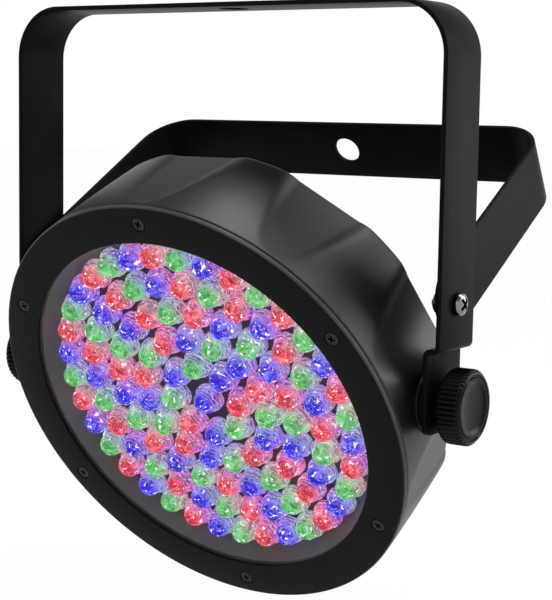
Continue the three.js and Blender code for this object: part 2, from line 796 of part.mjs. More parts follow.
function powerOutlet() {
  const flange = roundedPlateY(
    powerFlangeWidth, powerFlangeHeight, powerCornerRadius,
    headY(flangeSeat), headY(powerFace), powerSpacing, powerHeightOnCover, 2);
  const body = slabY(
    powerBodyWidth, powerBodyHeight,
    headY(powerFace - powerBodyLength), headY(flangeSeat) + fuseDepth, powerSpacing, powerHeightOnCover);
  return cut(joined(asSolid(flange), [body]), [-1, 0, 1].map((place) => slabY(
    bladeThickness + seatGap, bladeWidth + seatGap,
    headY(powerFace - bladeLength), headY(powerFace + overrun),
    powerSpacing + place * bladeSpacing, powerHeightOnCover)));
}

function fuseDrawer() {
  const x = -powerSpacing;
  const drawer = slabY(
    fuseDrawerWidth, fuseDrawerHeight,
    headY(powerFace - fuseDrawerLength), headY(powerFace + fuseDrawerProud), x, fuseBayZ);
  const grip = slabY(
    fuseDrawerWidth / 2, fuseDrawerLip,
    headY(powerFace + fuseDrawerProud) - fuseDepth, headY(powerFace + 2 * fuseDrawerProud),
    x, fuseBayZ - fuseDrawerHeight / 2 + fuseDrawerLip);
  return joined(asSolid(drawer), [grip]);
}

function menuButton(x) {
  const flangeBack = headY(coverFront - seatGap);
  const flange = rodY(buttonRadius + buttonFlange, flangeBack - buttonFlangeThickness, flangeBack, 8);
  const cap = rodY(buttonRadius, flangeBack - fuseDepth, headY(coverBack + buttonProud), 8);
  return joined(asSolid(flange), [cap]).translate([x, 0, buttonHeightOnCover]);
}

// A circuit board with a leg at each corner that stands on the rear cover
function boardOnLegs(width, height, front, z) {
  const board = slabY(width, height, headY(front), headY(front + boardThickness), 0, z);
  const legs = [-1, 1].flatMap((sx) => [-1, 1].map((sz) => (
    rodY(spacerLegRadius, headY(front + boardThickness) - fuseDepth, headY(coverFront - seatGap), 6)
      .translate(sx * (width / 2 - legInset), 0, z + sz * (height / 2 - legInset))
  )));
  return joined(asSolid(board), legs);
}

function powerBoard() {
  const face = headY(powerBoardDepth + boardThickness) - fuseDepth;
  const upperZ = powerBoardCentreZ + (powerBoardHeight - transformerHeight) / 2 - legInset;
  const transformer = slabY(
    transformerWidth, transformerHeight, face, face + fuseDepth + transformerTall,
    -transformerWidth / 2 - legInset, upperZ);
  const capacitors = [1, 3].map((step) => (
    rodY(capacitorRadius, face, face + fuseDepth + capacitorHeight, 12)
      .translate(step * (capacitorRadius + seatGap), 0, upperZ)
  ));
  return joined(boardOnLegs(powerBoardWidth, powerBoardHeight, powerBoardDepth, powerBoardCentreZ), [
    transformer,
    ...capacitors,
  ]);
}

function controlBoard() {
  const middle = (buttonHeightOnCover + displayHeightOnCover) / 2;
  const face = headY(controlBoardDepth + boardThickness);
  const switchTop = headY(coverFront - 2 * seatGap) - buttonFlangeThickness - buttonTravel;
  const switches = buttonPlaces.map((x) => (
    slabY(switchSize, switchSize, face - fuseDepth, switchTop, x, buttonHeightOnCover)
  ));
  return joined(boardOnLegs(controlBoardWidth, controlBoardHeight, controlBoardDepth, middle), switches);
}

// Flat cable from the LED board back to the power board
function ribbonCable() {
  const start = headY(ledBoardBack + seatGap);
  const end = headY(powerBoardDepth - seatGap);
  const middle = (start + end) / 2;
  const z = powerBoardCentreZ;
  const path = [
    [start, z - ribbonWidth / 2, 0, 0],
    [middle, z - ribbonWidth / 2, ribbonBend, stepBendSegments],
    [middle, z + ribbonWidth / 2, ribbonBend, stepBendSegments],
    [end, z + ribbonWidth / 2, 0, 0],
  ];
  return bentStrip(path, ribbonThickness, ribbonWidth).rotateZ(Math.PI / 2).translate(ribbonX, 0, 0);
}

// A steel loop for the safety cable: a bent rod on two feet
function safetyLoop() {
  const seat = headY(coverBack + seatGap);
  const half = loopWidth / 2;
  const [top, turn] = [seat + loopHeight, loopBend];
  const point = (x, y) => new THREE.Vector3(x, y, loopZ);
  const path = new THREE.CurvePath();
  path.add(new THREE.LineCurve3(point(-half, seat + fuseDepth), point(-half, top - turn)));
  path.add(new THREE.QuadraticBezierCurve3(
    point(-half, top - turn), point(-half, top), point(-half + turn, top)));
  path.add(new THREE.LineCurve3(point(-half + turn, top), point(half - turn, top)));
  path.add(new THREE.QuadraticBezierCurve3(
    point(half - turn, top), point(half, top), point(half, top - turn)));
  path.add(new THREE.LineCurve3(point(half, top - turn), point(half, seat + fuseDepth)));
  const section = new THREE.Shape().absarc(0, 0, loopRod, 0, Math.PI * 2, false);
  const options = { steps: 12, curveSegments: 4, extrudePath: path, bevelEnabled: false };
  const rod = new THREE.ExtrudeGeometry(section, options);
  return joined(asSolid(rod), [-half, half].map((x) => (
    rodY(loopFootRadius, seat, seat + loopFootHeight, 10).translate(x, 0, loopZ)
  )));
}

function buildHeadBack() {
  const cover = rodY(coverRadius, headY(coverFront), headY(coverBack), ringSegments);
  addPiece(head, "rear_cover", cut(asSolid(cover), coverCutters()), paint);
  evenAngles(coverScrewCount, 0).forEach((angle, i) => {
    const [x, z] = onCircle(coverScrewCircle, angle);
    const screw = panHeadScrew(
      coverScrewHeadRadius, coverScrewHeadHeight, coverScrewRadius, coverScrewLength, 6);
    addPiece(head, `cover_screw_${i + 1}`, screw, blackSteel).position.set(x, headY(coverBack + seatGap), z);
  });
  const display = slabY(
    displayWidth, displayHeight, headY(controlBoardDepth + boardThickness + seatGap),
    headY(coverBack + displayProud), 0, displayHeightOnCover);
  addPiece(head, "display", display, darkGlass);
  buttonPlaces.forEach((x, i) => addPiece(head, `menu_button_${i + 1}`, menuButton(x), knobPlastic));
  addPiece(head, "data_input", dataInput(), zinc);
  addPiece(head, "data_output", dataOutput(), zinc);
  addPiece(head, "data_output_latch", dataLatch(), blackSteel);
  addPiece(head, "power_inlet", powerInlet(), knobPlastic);
  addPiece(head, "power_outlet", powerOutlet(), knobPlastic);
  addPiece(head, "fuse_drawer", fuseDrawer(), knobPlastic);
  addPiece(head, "power_board", powerBoard(), greenBoard);
  addPiece(head, "control_board", controlBoard(), greenBoard);
  addPiece(head, "ribbon_cable", ribbonCable(), rubber);
  addPiece(head, "safety_loop", safetyLoop(), chrome);
}

// A plate outline seen from the side, to trim a bent strip's ends; it runs along X
function endTrim(halfSpan, corner, low, high) {
  const reach = halfSpan + overrun;
  const plate = roundedPlateY(stripWidth, high - low, corner, -reach, reach, 0, (high + low) / 2, 5);
  return asSolid(plate.rotateZ(Math.PI / 2));
}

function hangingBracket() {
  const half = stripThickness / 2;
  const [armX, plateX] = [yokeHalfWidth - half, plateOuterX - half];
  const axisZ = -tiltDrop;
  const stepZ = axisZ + stepRise + half;
  const low = axisZ - plateDrop;
  const strip = bentStrip([
    [plateX, low, 0, 0],
    [plateX, stepZ, stepBend, stepBendSegments],
    [armX, stepZ, stepBend, stepBendSegments],
    [armX, -half, yokeBend, bendSegments],
    [-armX, -half, yokeBend, bendSegments],
    [-armX, stepZ, stepBend, stepBendSegments],
    [-plateX, stepZ, stepBend, stepBendSegments],
    [-plateX, low, 0, 0],
  ], stripThickness, stripWidth);
  const trimmed = asSolid(strip).intersect(
    endTrim(yokeHalfWidth, plateCornerRadius, low, plateCornerRadius + overrun));
  const reach = yokeHalfWidth + overrun;
  return cut(trimmed, [
    rodX(studRadius + holeClearance, -reach, reach, 12).translate(0, 0, axisZ),
    rodX(pivotScrewRadius + holeClearance, -reach, reach, 10).translate(0, 0, axisZ + pivotRise),
    rodZ(clampHoleRadius, -stripThickness - overrun, overrun, 20),
  ]);
}

function floorBracket() {
  const half = stripThickness / 2;
  const armX = floorHalfWidth - half;
  const low = -floorEndReach;
  const strip = bentStrip([
    [armX, low, 0, 0],
    [armX, floorLength - half, floorBend, bendSegments],
    [-armX, floorLength - half, floorBend, bendSegments],
    [-armX, low, 0, 0],
  ], stripThickness, stripWidth);
  const trimmed = asSolid(strip).intersect(
    endTrim(floorHalfWidth, stripWidth / 2, low, floorLength + stripWidth));
  const reach = floorHalfWidth + overrun;
  return cut(trimmed, [
    rodX(pivotScrewRadius + holeClearance, -reach, reach, 10),
    rodZ(floorHoleRadius, floorLength - stripThickness - overrun, floorLength + overrun, 20),
  ]);
}

function flutedRim(from, to) {
  const shape = new THREE.Shape();
  evenAngles(fluteCount, 0).forEach((angle, i) => {
    const place = (radius, share) => onCircle(radius, angle + (360 / fluteCount) * share);
    if (i === 0) shape.moveTo(...place(knobRadius - fluteDepth, 0));
    else shape.lineTo(...place(knobRadius - fluteDepth, 0));
    shape.lineTo(...place(knobRadius, 1 / 2));
  });
  const rim = new THREE.ExtrudeGeometry(shape, { depth: to - from, bevelEnabled: false });
  return rim.rotateX(Math.PI / 2).translate(0, to, 0);
}

// Hand knob about Y, its hub at the bracket and its face outwards
function handKnob() {
  const hub = plateOuterX + seatGap;
  const rim = hub + knobHubLength;
  const shoulder = rim + knobRimWidth;
  const face = shoulder + knobShoulder;
  const core = turned([
    [0, hub],
    [knobHubRadius, hub],
    [knobHubRadius, rim + fuseDepth],
    [knobRadius - fluteDepth, shoulder - fuseDepth],
    [knobRadius - fluteDepth, shoulder],
    [knobFaceRadius, face],
    [0, face],
  ], 16);
  const groove = turned([
    [knobGrooveRadius, face - knobGrooveDepth],
    [knobGrooveRadius + knobGrooveWidth, face + overrun],
    [knobGrooveRadius - knobGrooveWidth, face + overrun],
    [knobGrooveRadius, face - knobGrooveDepth],
  ], 16);
  const dish = turned([
    [0, face - knobDishDepth],
    [knobDishRadius - knobDishDepth * 2, face - knobDishDepth],
    [knobDishRadius, face],
    [knobDishRadius, face + overrun],
    [0, face + overrun],
  ], 16);
  const bore = rodY(studRadius + seatGap, hub - overrun, hub + studDepthInKnob, 10);
  return cut(joined(asSolid(flutedRim(rim, shoulder)), [core]), [groove, dish, bore]);
}

// A flat ring about Y
function ringY(inner, outer, from, to, segments = 12) {
  return turned([[inner, from], [outer, from], [outer, to], [inner, to], [inner, from]], segments);
}

function pivotScrew() {
  const seat = yokeHalfWidth + seatGap;
  const nutFace = floorHalfWidth - stripThickness - seatGap;
  const length = seat - (nutFace - nutHeight - threadPast);
  const screw = asSolid(panHeadScrew(pivotHeadRadius, pivotHeadHeight, pivotScrewRadius, length, 12));
  const recess = crossRecess(pivotHeadRadius, pivotHeadHeight, pivotHeadHeight * crossDepthShare);
  return cut(screw, recess).translate([0, seat, 0]);
}

function pivotNut() {
  const face = floorHalfWidth - stripThickness - seatGap;
  const block = asSolid(rodY(nutRadius, face - nutHeight, face, 6));
  return cut(block, [rodY(pivotScrewRadius + seatGap, face - nutHeight - overrun, face + overrun, 10)]);
}

function buildBrackets() {
  addPiece(root, "hanging_bracket", hangingBracket(), paint);
  const floor = addPiece(root, "floor_bracket", floorBracket(), paint);
  floor.position.z = -tiltDrop + pivotRise;
  floor.rotation.x = -degrees(floorLean);
}

// What repeats at each side, built outwards along Y and turned to face left and right
function buildSide(side, sign) {
  const atPivot = new THREE.Group();
  atPivot.position.z = -tiltDrop + pivotRise;
  atPivot.rotation.z = -sign * Math.PI / 2;
  const atKnob = new THREE.Group();
  atKnob.position.z = -tiltDrop;
  atKnob.rotation.z = -sign * Math.PI / 2;
  root.add(atPivot, atKnob);
  const washerFrom = floorHalfWidth + seatGap;
  const washer = ringY(
    pivotScrewRadius + seatGap, pivotWasherRadius, washerFrom, washerFrom + pivotWasherThickness);
  addPiece(atPivot, `pivot_screw_${side}`, pivotScrew(), chrome);
  addPiece(atPivot, `pivot_washer_${side}`, washer, nylon);
  addPiece(atPivot, `pivot_nut_${side}`, pivotNut(), chrome);
  const stud = rodY(studRadius, bossFaceX - studDepthInHead, plateOuterX + studDepthInKnob, 10);
  const insert = ringY(studRadius + seatGap, insertRadius, bossFaceX - insertLength, bossFaceX);
  const pad = ringY(
    studRadius + holeClearance, frictionWasherRadius, bossFaceX + seatGap, plateInnerX - seatGap, 16);
  addPiece(atKnob, `knob_${side}`, handKnob(), knobPlastic);
  addPiece(atKnob, `knob_stud_${side}`, stud, zinc);
  addPiece(atKnob, `threaded_insert_${side}`, insert, brass);
  addPiece(atKnob, `friction_washer_${side}`, pad, rubber);
}

buildHeadFront();
buildHeadBack();
buildBrackets();
buildSide("left", -1);
buildSide("right", 1);

export default root;
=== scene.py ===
"""Builds an LED par light piece by piece around its packed frame, in metres, with +Z up.

The face looks along -Y and tilts about an axis along X. The origin is the clamp hole's centre.
"""

import math

import bmesh
import bpy
import numpy as np
from mathutils import Matrix, Vector


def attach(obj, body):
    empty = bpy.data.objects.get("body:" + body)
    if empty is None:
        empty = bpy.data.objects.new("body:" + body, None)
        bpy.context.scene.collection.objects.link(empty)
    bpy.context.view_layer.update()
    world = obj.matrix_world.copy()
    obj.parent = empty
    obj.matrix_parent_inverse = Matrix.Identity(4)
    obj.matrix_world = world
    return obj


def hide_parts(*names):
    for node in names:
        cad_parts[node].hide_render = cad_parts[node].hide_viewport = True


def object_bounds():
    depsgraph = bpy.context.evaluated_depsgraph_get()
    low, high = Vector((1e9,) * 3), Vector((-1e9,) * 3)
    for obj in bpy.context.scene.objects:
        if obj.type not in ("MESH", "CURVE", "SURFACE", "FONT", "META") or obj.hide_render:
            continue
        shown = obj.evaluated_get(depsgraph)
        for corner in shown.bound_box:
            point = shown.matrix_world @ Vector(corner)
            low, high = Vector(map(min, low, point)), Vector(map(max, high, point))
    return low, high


bl_info = {
    "name": "LED Par Light",
    "version": (1, 0, 0),
    "blender": (4, 5, 0),
    "location": "View3D > Sidebar > Par Light",
    "description": "Builds a slim LED par light with its brackets, knobs, sockets and lamps",
    "category": "Object",
}

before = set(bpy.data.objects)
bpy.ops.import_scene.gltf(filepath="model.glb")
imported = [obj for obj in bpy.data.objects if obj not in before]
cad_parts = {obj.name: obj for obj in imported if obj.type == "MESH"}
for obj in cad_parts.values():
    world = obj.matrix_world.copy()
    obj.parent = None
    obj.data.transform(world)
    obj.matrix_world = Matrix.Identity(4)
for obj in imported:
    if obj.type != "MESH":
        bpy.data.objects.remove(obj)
CAD_BOX = [list(corner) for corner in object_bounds()]

MM = 0.001
TURN = 2 * math.pi
# How far a cutter runs past the face that it opens
OVERRUN = 1 * MM
# How deep a part sinks into the one that it is fused to
FUSED = 0.6 * MM
# How far in the middle point of an eased edge lies, as a share of the edge
EDGE_MIDDLE = 0.3
# Where the LED board's posts stand on their circle, in degrees
POST_TURNS = (20, 160, 200, 340)
# From the data sockets' centres up to the release latch
LATCH_RISE = 11.7 * MM
# From the mains inlet's pins down to the middle of its flange
INLET_DROP = 5 * MM
BUTTONS = 4
LAMP_SEED = 11


# Sizes and colours

def size(name, description, millimetres):
    """A length that a user may change, given here in millimetres."""
    return bpy.props.FloatProperty(
        name=name, description=description, default=millimetres * MM,
        subtype="DISTANCE", unit="LENGTH", precision=5)


def angle(name, description, degrees):
    """An angle that a user may change, given here in degrees."""
    return bpy.props.FloatProperty(
        name=name, description=description, default=math.radians(degrees),
        subtype="ANGLE", unit="ROTATION")


def count(name, description, number):
    """A number of like parts."""
    return bpy.props.IntProperty(name=name, description=description, default=number, min=1)


def power(name, description, number):
    """The power that a curve follows."""
    return bpy.props.FloatProperty(name=name, description=description, default=number, min=0.1)


def colour(name, description, value):
    """A linear colour that a user may change."""
    return bpy.props.FloatVectorProperty(
        name=name, description=description, default=value, size=3, min=0, max=1, subtype="COLOR")


class ParLightHead(bpy.types.PropertyGroup):
    """Sizes of the round head; depths are measured back from the bezel's face."""

    tilt: angle("Tilt", "How far the face looks down from level", 26)
    drop: size("Tilt drop", "From the bracket's top face down to the tilt axis", 165)
    pivot_depth: size("Pivot depth", "From the bezel's face back to the tilt axis", 28.5)
    face_radius: size("Face radius", "Outer radius at the front", 102)
    back_radius: size("Back radius", "Outer radius at the back", 100)
    depth: size("Depth", "From the bezel's face to the back wall", 56)
    wall: size("Side wall", "Thickness of the housing's side", 2.2)
    back_wall: size("Back wall", "Thickness of the housing's back", 2.4)
    back_fillet: size("Back fillet", "Radius of the edge round the back", 3)
    opening_radius: size("Back opening", "Radius of the opening under the rear cover", 70)
    crown: power("Crown", "How late the side starts to draw in", 1.7)
    facets: count("Facets", "Flats moulded into the side", 10)
    facet_start: size("Facet start", "Depth at which the flats begin", 4)
    facet_half: angle("Facet half angle", "Half of a flat's angle at the back edge", 9)
    bevel_half: angle("Bevel half angle", "Half angle out to the soft edge of a flat", 13.1)
    facet_cut: size("Facet cut", "How far a flat's middle lies inside the round", 2.8)
    bevel_cut: size("Bevel cut", "How far a flat's edge lies inside the round", 1.58)
    bevel_curve: power("Bevel curve", "How fast a flat's soft edge levels out", 1.7)
    facet_taper: power("Facet taper", "How evenly a flat widens towards the back", 0.4)
    bezel_thickness: size("Bezel thickness", "Thickness of the front ring", 2)
    seat_gap: size("Seat gap", "Gap between neighbouring pieces", 0.3)
    screw_circle: size("Bezel screw circle", "Radius on which the bezel screws sit", 93.7)
    screw_count: count("Bezel screws", "Screws round the bezel", 6)


class ParLightFace(bpy.types.PropertyGroup):
    """Sizes of the window and of the LEDs behind it."""

    window_radius: size("Window radius", "Radius of the opening in the bezel", 84.7)
    pane_radius: size("Pane radius", "Radius of the clear pane", 88.4)
    pane_front: size("Pane front", "Depth of the pane's front face", 1.2)
    pane_back: size("Pane back", "Depth of the pane's back face", 3)
    spacer_foot: size("Spacer foot", "Inner radius where the spacer meets the board", 80.6)
    spacer_wall: size("Spacer wall", "Thickness of the spacer ring", 1.6)
    board_radius: size("Board radius", "Radius of the LED board", 90.2)
    board_depth: size("Board depth", "Depth of the LED board's face", 13.2)
    board_thickness: size("Board thickness", "Thickness of the LED board", 1.6)
    post_circle: size("Post circle", "Radius on which the board's screws sit", 86.5)
    led_radius: size("LED radius", "Radius of one LED's lens", 5.5)
    led_foot: size("LED foot", "Radius of the flange at an LED's foot", 6.8)
    led_tip: size("LED tip", "Depth of the LEDs' tips", 3.3)
    first_ring: size("First ring", "Radius of the innermost ring of LEDs", 18)
    ring_pitch: size("Ring pitch", "From one ring of LEDs to the next", 13.9)


class ParLightBrackets(bpy.types.PropertyGroup):
    """Sizes of the two bent steel brackets and their pivots."""

    strip_width: size("Strip width", "Width of the steel strip", 30)
    strip_thickness: size("Strip thickness", "Thickness of the steel strip", 2)
    yoke_half: size("Yoke half width", "From the middle to the hanging bracket's outside", 113)
    yoke_bend: size("Yoke bend", "Bend radius at the top corners", 22)
    step_rise: size("Step rise", "From the tilt axis up to the step", 22.5)
    step_inset: size("Step inset", "How far the knob plate stands in", 5.5)
    step_bend: size("Step bend", "Bend radius at the step", 1.8)
    plate_drop: size("Plate drop", "From the tilt axis down to the plate's end", 11.5)
    plate_corner: size("Plate corner", "Corner radius of the knob plate", 5)
    clamp_hole: size("Clamp hole", "Radius of the hole for a clamp's bolt", 6.5)
    pivot_rise: size("Pivot rise", "From the tilt axis up to the floor bracket's pivots", 42)
    floor_half: size("Floor half width", "From the middle to the floor bracket's outside", 109.6)
    floor_length: size("Floor length", "From the pivots to the floor bracket's crossbar", 116.5)
    floor_end: size("Floor end", "From the pivots to the floor bracket's ends", 9.5)
    floor_bend: size("Floor bend", "Bend radius of the floor bracket", 20)
    floor_lean: angle("Floor lean", "How far the floor bracket leans back", 59.5)
    edge: size("Edge", "Rounding of the painted strip's edges", 0.45)
    pivot_screw: size("Pivot screw", "Radius of the pivot screw's shank", 2.5)
    pivot_head: size("Pivot head", "Radius of the pivot screw's head", 4.8)
    pivot_head_height: size("Pivot head height", "Height of the pivot screw's head", 3.2)
    nut_radius: size("Nut radius", "Radius over the nut's corners", 4.6)
    nut_height: size("Nut height", "Height of the nut", 4)


class ParLightKnobs(bpy.types.PropertyGroup):
    """Sizes of the hand knobs."""

    radius: size("Radius", "Over the flutes' ridges", 15.9)
    rim_width: size("Rim width", "Width of the fluted rim", 8.8)
    shoulder: size("Shoulder", "Width of the bevel from rim to face", 1.2)
    face_radius: size("Face radius", "Radius of the flat face", 14.4)
    hub_radius: size("Hub radius", "Radius of the hub behind the rim", 9.5)
    hub_length: size("Hub length", "Length of the hub", 4.1)
    dish_radius: size("Dish radius", "Radius of the dish in the face", 11.2)
    dish_depth: size("Dish depth", "Depth of the dish in the face", 1.4)
    groove_radius: size("Groove radius", "Radius of the ring groove in the face", 13)
    groove_depth: size("Groove depth", "Depth of the ring groove", 0.5)
    flutes: count("Flutes", "Flutes round the rim", 46)
    flute_depth: size("Flute depth", "Depth of a flute", 0.95)
    boss_radius: size("Boss radius", "Radius of the housing's side boss", 13)
    boss_proud: size("Boss proud", "How far the side boss stands out", 0.5)
    washer_radius: size("Washer radius", "Radius of the rubber friction washer", 12)


class ParLightPanel(bpy.types.PropertyGroup):
    """Sizes of the rear cover and what it carries."""

    cover_radius: size("Cover radius", "Radius of the rear cover", 82)
    cover_front: size("Cover front", "Depth of the cover's front face", 56.3)
    cover_back: size("Cover back", "Depth of the cover's back face", 57.8)
    screw_circle: size("Cover screw circle", "Radius on which the cover screws sit", 76)
    screw_count: count("Cover screws", "Screws round the rear cover", 6)
    socket_face: size("Socket face", "Depth of the sockets' outer faces", 60.1)
    socket_x: size("Socket spacing", "From the middle to each data socket", 23)
    socket_z: size("Socket height", "Height of the data sockets' centres", -2)
    socket_bore: size("Socket bore", "Radius of a data socket's bore", 8.8)
    power_x: size("Power spacing", "From the middle to each mains socket", 19)
    power_z: size("Power height", "Height of the mains sockets' centres", -39)
    display_z: size("Display height", "Height of the display's centre", 50)
    button_z: size("Button height", "Height of the menu buttons", 30)
    button_pitch: size("Button pitch", "From one menu button to the next", 15)
    button_radius: size("Button radius", "Radius of a menu button", 2.9)
    loop_z: size("Loop height", "Height of the safety loop", 70)


class ParLightColours(bpy.types.PropertyGroup):
    """Colours of the finishes."""

    paint: colour("Paint", "Powder coat on the brackets and rear cover", (0.0034, 0.0034, 0.0032))
    shell: colour("Shell", "Moulded plastic of the head", (0.0036, 0.0036, 0.0036))
    knob: colour("Knob", "Plastic of the knobs and buttons", (0.0034, 0.0034, 0.0032))
    socket: colour("Socket", "Plastic of the mains sockets", (0.006, 0.006, 0.0062))
    board: colour("Board", "Face of the LED board and the spacer", (0.105, 0.101, 0.098))
    circuit: colour("Circuit board", "Solder mask of the inner boards", (0.02, 0.12, 0.05))
    red: colour("Red", "Light of the red LEDs", (0.88, 0.045, 0.075))
    green: colour("Green", "Light of the green LEDs", (0.11, 0.60, 0.13))
    blue: colour("Blue", "Light of the blue LEDs", (0.035, 0.015, 0.86))


SETTINGS = {
    "par_light_head": ParLightHead,
    "par_light_face": ParLightFace,
    "par_light_brackets": ParLightBrackets,
    "par_light_knobs": ParLightKnobs,
    "par_light_panel": ParLightPanel,
    "par_light_colours": ParLightColours,
}


# Node trees in Python

class Socket:
    """One output of a node; Python's operators on it add Math nodes to its tree."""

    def __init__(self, maker, socket):
        self.maker = maker
        self.socket = socket

    def math(self, operation, *others):
        """A Math node with this value as its first."""
        return self.maker.add("ShaderNodeMath", {"operation": operation}, [self, *others])

    def __add__(self, other):
        return self.math("ADD", other)

    __radd__ = __add__

    def __mul__(self, other):
        return self.math("MULTIPLY", other)

    __rmul__ = __mul__

    def __sub__(self, other):
        return self.math("SUBTRACT", other)

    def __rsub__(self, other):
        return self.maker.add("ShaderNodeMath", {"operation": "SUBTRACT"}, [other, self])

    def __truediv__(self, other):
        return self.math("DIVIDE", other)

    def __rtruediv__(self, other):
        return self.maker.add("ShaderNodeMath", {"operation": "DIVIDE"}, [other, self])

    def __pow__(self, other):
        return self.math("POWER", other)

    def __neg__(self):
        return self * -1

    def __abs__(self):
        return self.math("ABSOLUTE")

    def rise(self, low, high):
        """0 below low, 1 above high, and smooth between them."""
        settings = {"interpolation_type": "SMOOTHSTEP"}
        return self.maker.add("ShaderNodeMapRange", settings, [self, low, high, 0.0, 1.0])

    def band(self, middle, half):
        """1 at middle, falling smoothly to 0 at half either side."""
        return 1 - abs(self - middle).rise(0.0, half)


class NodeMaker:
    """Adds nodes to one tree; settings are set first, then values and links."""

    def __init__(self, tree):
        self.tree = tree

    def add(self, kind, settings=None, inputs=None, output=0):
        """Adds one node and gives back the output asked for; inputs go by name or by number."""
        node = self.tree.nodes.new(kind)
        for key, value in (settings or {}).items():
            setattr(node, key, value)
        pairs = inputs.items() if isinstance(inputs, dict) else enumerate(inputs or [])
        for key, value in pairs:
            if isinstance(value, Socket):
                self.tree.links.new(value.socket, node.inputs[key])
            elif value is not None:
                node.inputs[key].default_value = value
        return Socket(self, node.outputs[output]) if len(node.outputs) else None

    def split(self, vector):
        """The three numbers of a vector."""
        first = self.add("ShaderNodeSeparateXYZ", None, [vector])
        node = first.socket.node
        return [Socket(self, node.outputs[i]) for i in range(3)]

    def vector(self, operation, *values):
        """A Vector Math node."""
        return self.add("ShaderNodeVectorMath", {"operation": operation}, list(values))


class Finish(NodeMaker):
    """A procedural material whose patterns read object coordinates in metres."""

    def __init__(self, name):
        self.material = bpy.data.materials.new(name)
        self.material.use_nodes = True
        super().__init__(self.material.node_tree)
        self.tree.nodes.clear()

    def place(self):
        """The point's place in object coordinates."""
        return self.add("ShaderNodeTexCoord", None, None, "Object")

    def attribute(self, name, output="Vector"):
        """What the mesh stores on its points under that name."""
        return self.add("ShaderNodeAttribute", {"attribute_name": name}, None, output)

    def noise(self, where, scale, detail=2.0, roughness=0.5, distortion=0.0):
        """Soft noise from about 0 to 1, with that many blobs to a unit."""
        inputs = {"Vector": where, "Scale": scale, "Detail": detail,
                  "Roughness": roughness, "Distortion": distortion}
        return self.add("ShaderNodeTexNoise", None, inputs)

    def mix(self, low, high, factor):
        """From the colour low to the colour high."""
        settings = {"data_type": "RGBA", "clamp_factor": True}
        low, high = ((*c, 1.0) if isinstance(c, tuple) else c for c in (low, high))
        return self.add("ShaderNodeMix", settings, {0: factor, 6: low, 7: high}, 2)

    def bump(self, height, distance, strength):
        """A normal bent by a height, over a distance in metres."""
        inputs = {"Height": height, "Distance": distance, "Strength": strength}
        return self.add("ShaderNodeBump", None, inputs)

    def shade(self, colour, **inputs):
        """Ends the tree in one Principled shader."""
        if isinstance(colour, tuple):
            colour = (*colour, 1.0)
        named = {key.replace("_", " "): value for key, value in inputs.items()}
        shader = self.add("ShaderNodeBsdfPrincipled", None, {"Base Color": colour, **named})
        self.add("ShaderNodeOutputMaterial", None, {"Surface": shader})
        return self.material


class Recipe(NodeMaker):
    """A Geometry Nodes tree that ends in Realize Instances and Set Material."""

    def __init__(self, name, inputs):
        """The inputs are given as names with the kinds of their sockets."""
        tree = bpy.data.node_groups.new(name, "GeometryNodeTree")
        super().__init__(tree)
        sockets = {"Geometry": "Geometry", **inputs, "Finish": "Material"}
        for label, kind in sockets.items():
            tree.interface.new_socket(label, in_out="INPUT", socket_type="NodeSocket" + kind)
        tree.interface.new_socket("Geometry", in_out="OUTPUT", socket_type="NodeSocketGeometry")
        group = tree.nodes.new("NodeGroupInput")
        self.inputs = {label: Socket(self, group.outputs[label]) for label in sockets}

    def sunk(self, outward, cut):
        """Moves each point in, against its outward direction."""
        offset = self.add("ShaderNodeVectorMath", {"operation": "SCALE"},
                          {0: outward, "Scale": -cut})
        return self.add("GeometryNodeSetPosition", None,
                        {"Geometry": self.inputs["Geometry"], "Offset": offset})

    def finish(self, geometry):
        """Ends the tree."""
        whole = self.add("GeometryNodeRealizeInstances", None, {"Geometry": geometry})
        done = self.add("GeometryNodeSetMaterial", None,
                        {"Geometry": whole, "Material": self.inputs["Finish"]})
        self.add("NodeGroupOutput", None, {"Geometry": done})
        return self.tree


def grown(base, tree, values, look):
    """Runs a Geometry Nodes tree on an object and leaves its result as a plain mesh."""
    modifier = base.modifiers.new(tree.name, "NODES")
    modifier.node_group = tree
    values = {**values, "Finish": finish(look)}
    for item in tree.interface.items_tree:
        if item.in_out == "INPUT" and item.name in values:
            modifier[item.identifier] = values[item.name]
    base.update_tag()
    settled(base)


def settled(base):
    """Replaces an object's mesh with its evaluated one and removes its modifiers."""
    graph = bpy.context.evaluated_depsgraph_get()
    mesh = bpy.data.meshes.new_from_object(
        base.evaluated_get(graph), preserve_all_data_layers=True, depsgraph=graph)
    if not mesh.polygons:
        raise RuntimeError(f"{base.name} came out empty")
    base.modifiers.clear()
    mesh.name = base.name
    base.data = mesh


# Shapes

def eased(corners, steps=4, closed=True):
    """An outline with its corners rounded; each corner is [x, y] or [x, y, radius]."""
    points = []
    total = len(corners)
    for i, corner in enumerate(corners):
        here = Vector(corner[:2])
        if len(corner) < 3 or (not closed and i in (0, total - 1)):
            points.append(tuple(here))
            continue
        before = (Vector(corners[i - 1][:2]) - here).normalized()
        after = (Vector(corners[(i + 1) % total][:2]) - here).normalized()
        half = before.angle(after) / 2
        reach = corner[2] / math.tan(half)
        centre = here + (before + after).normalized() * corner[2] / math.sin(half)
        first, last = here + before * reach - centre, here + after * reach - centre
        sweep = first.angle_signed(last)
        for k in range(steps + 1):
            turn = -sweep * k / steps
            points.append(tuple(centre + Matrix.Rotation(turn, 2) @ first))
    return points


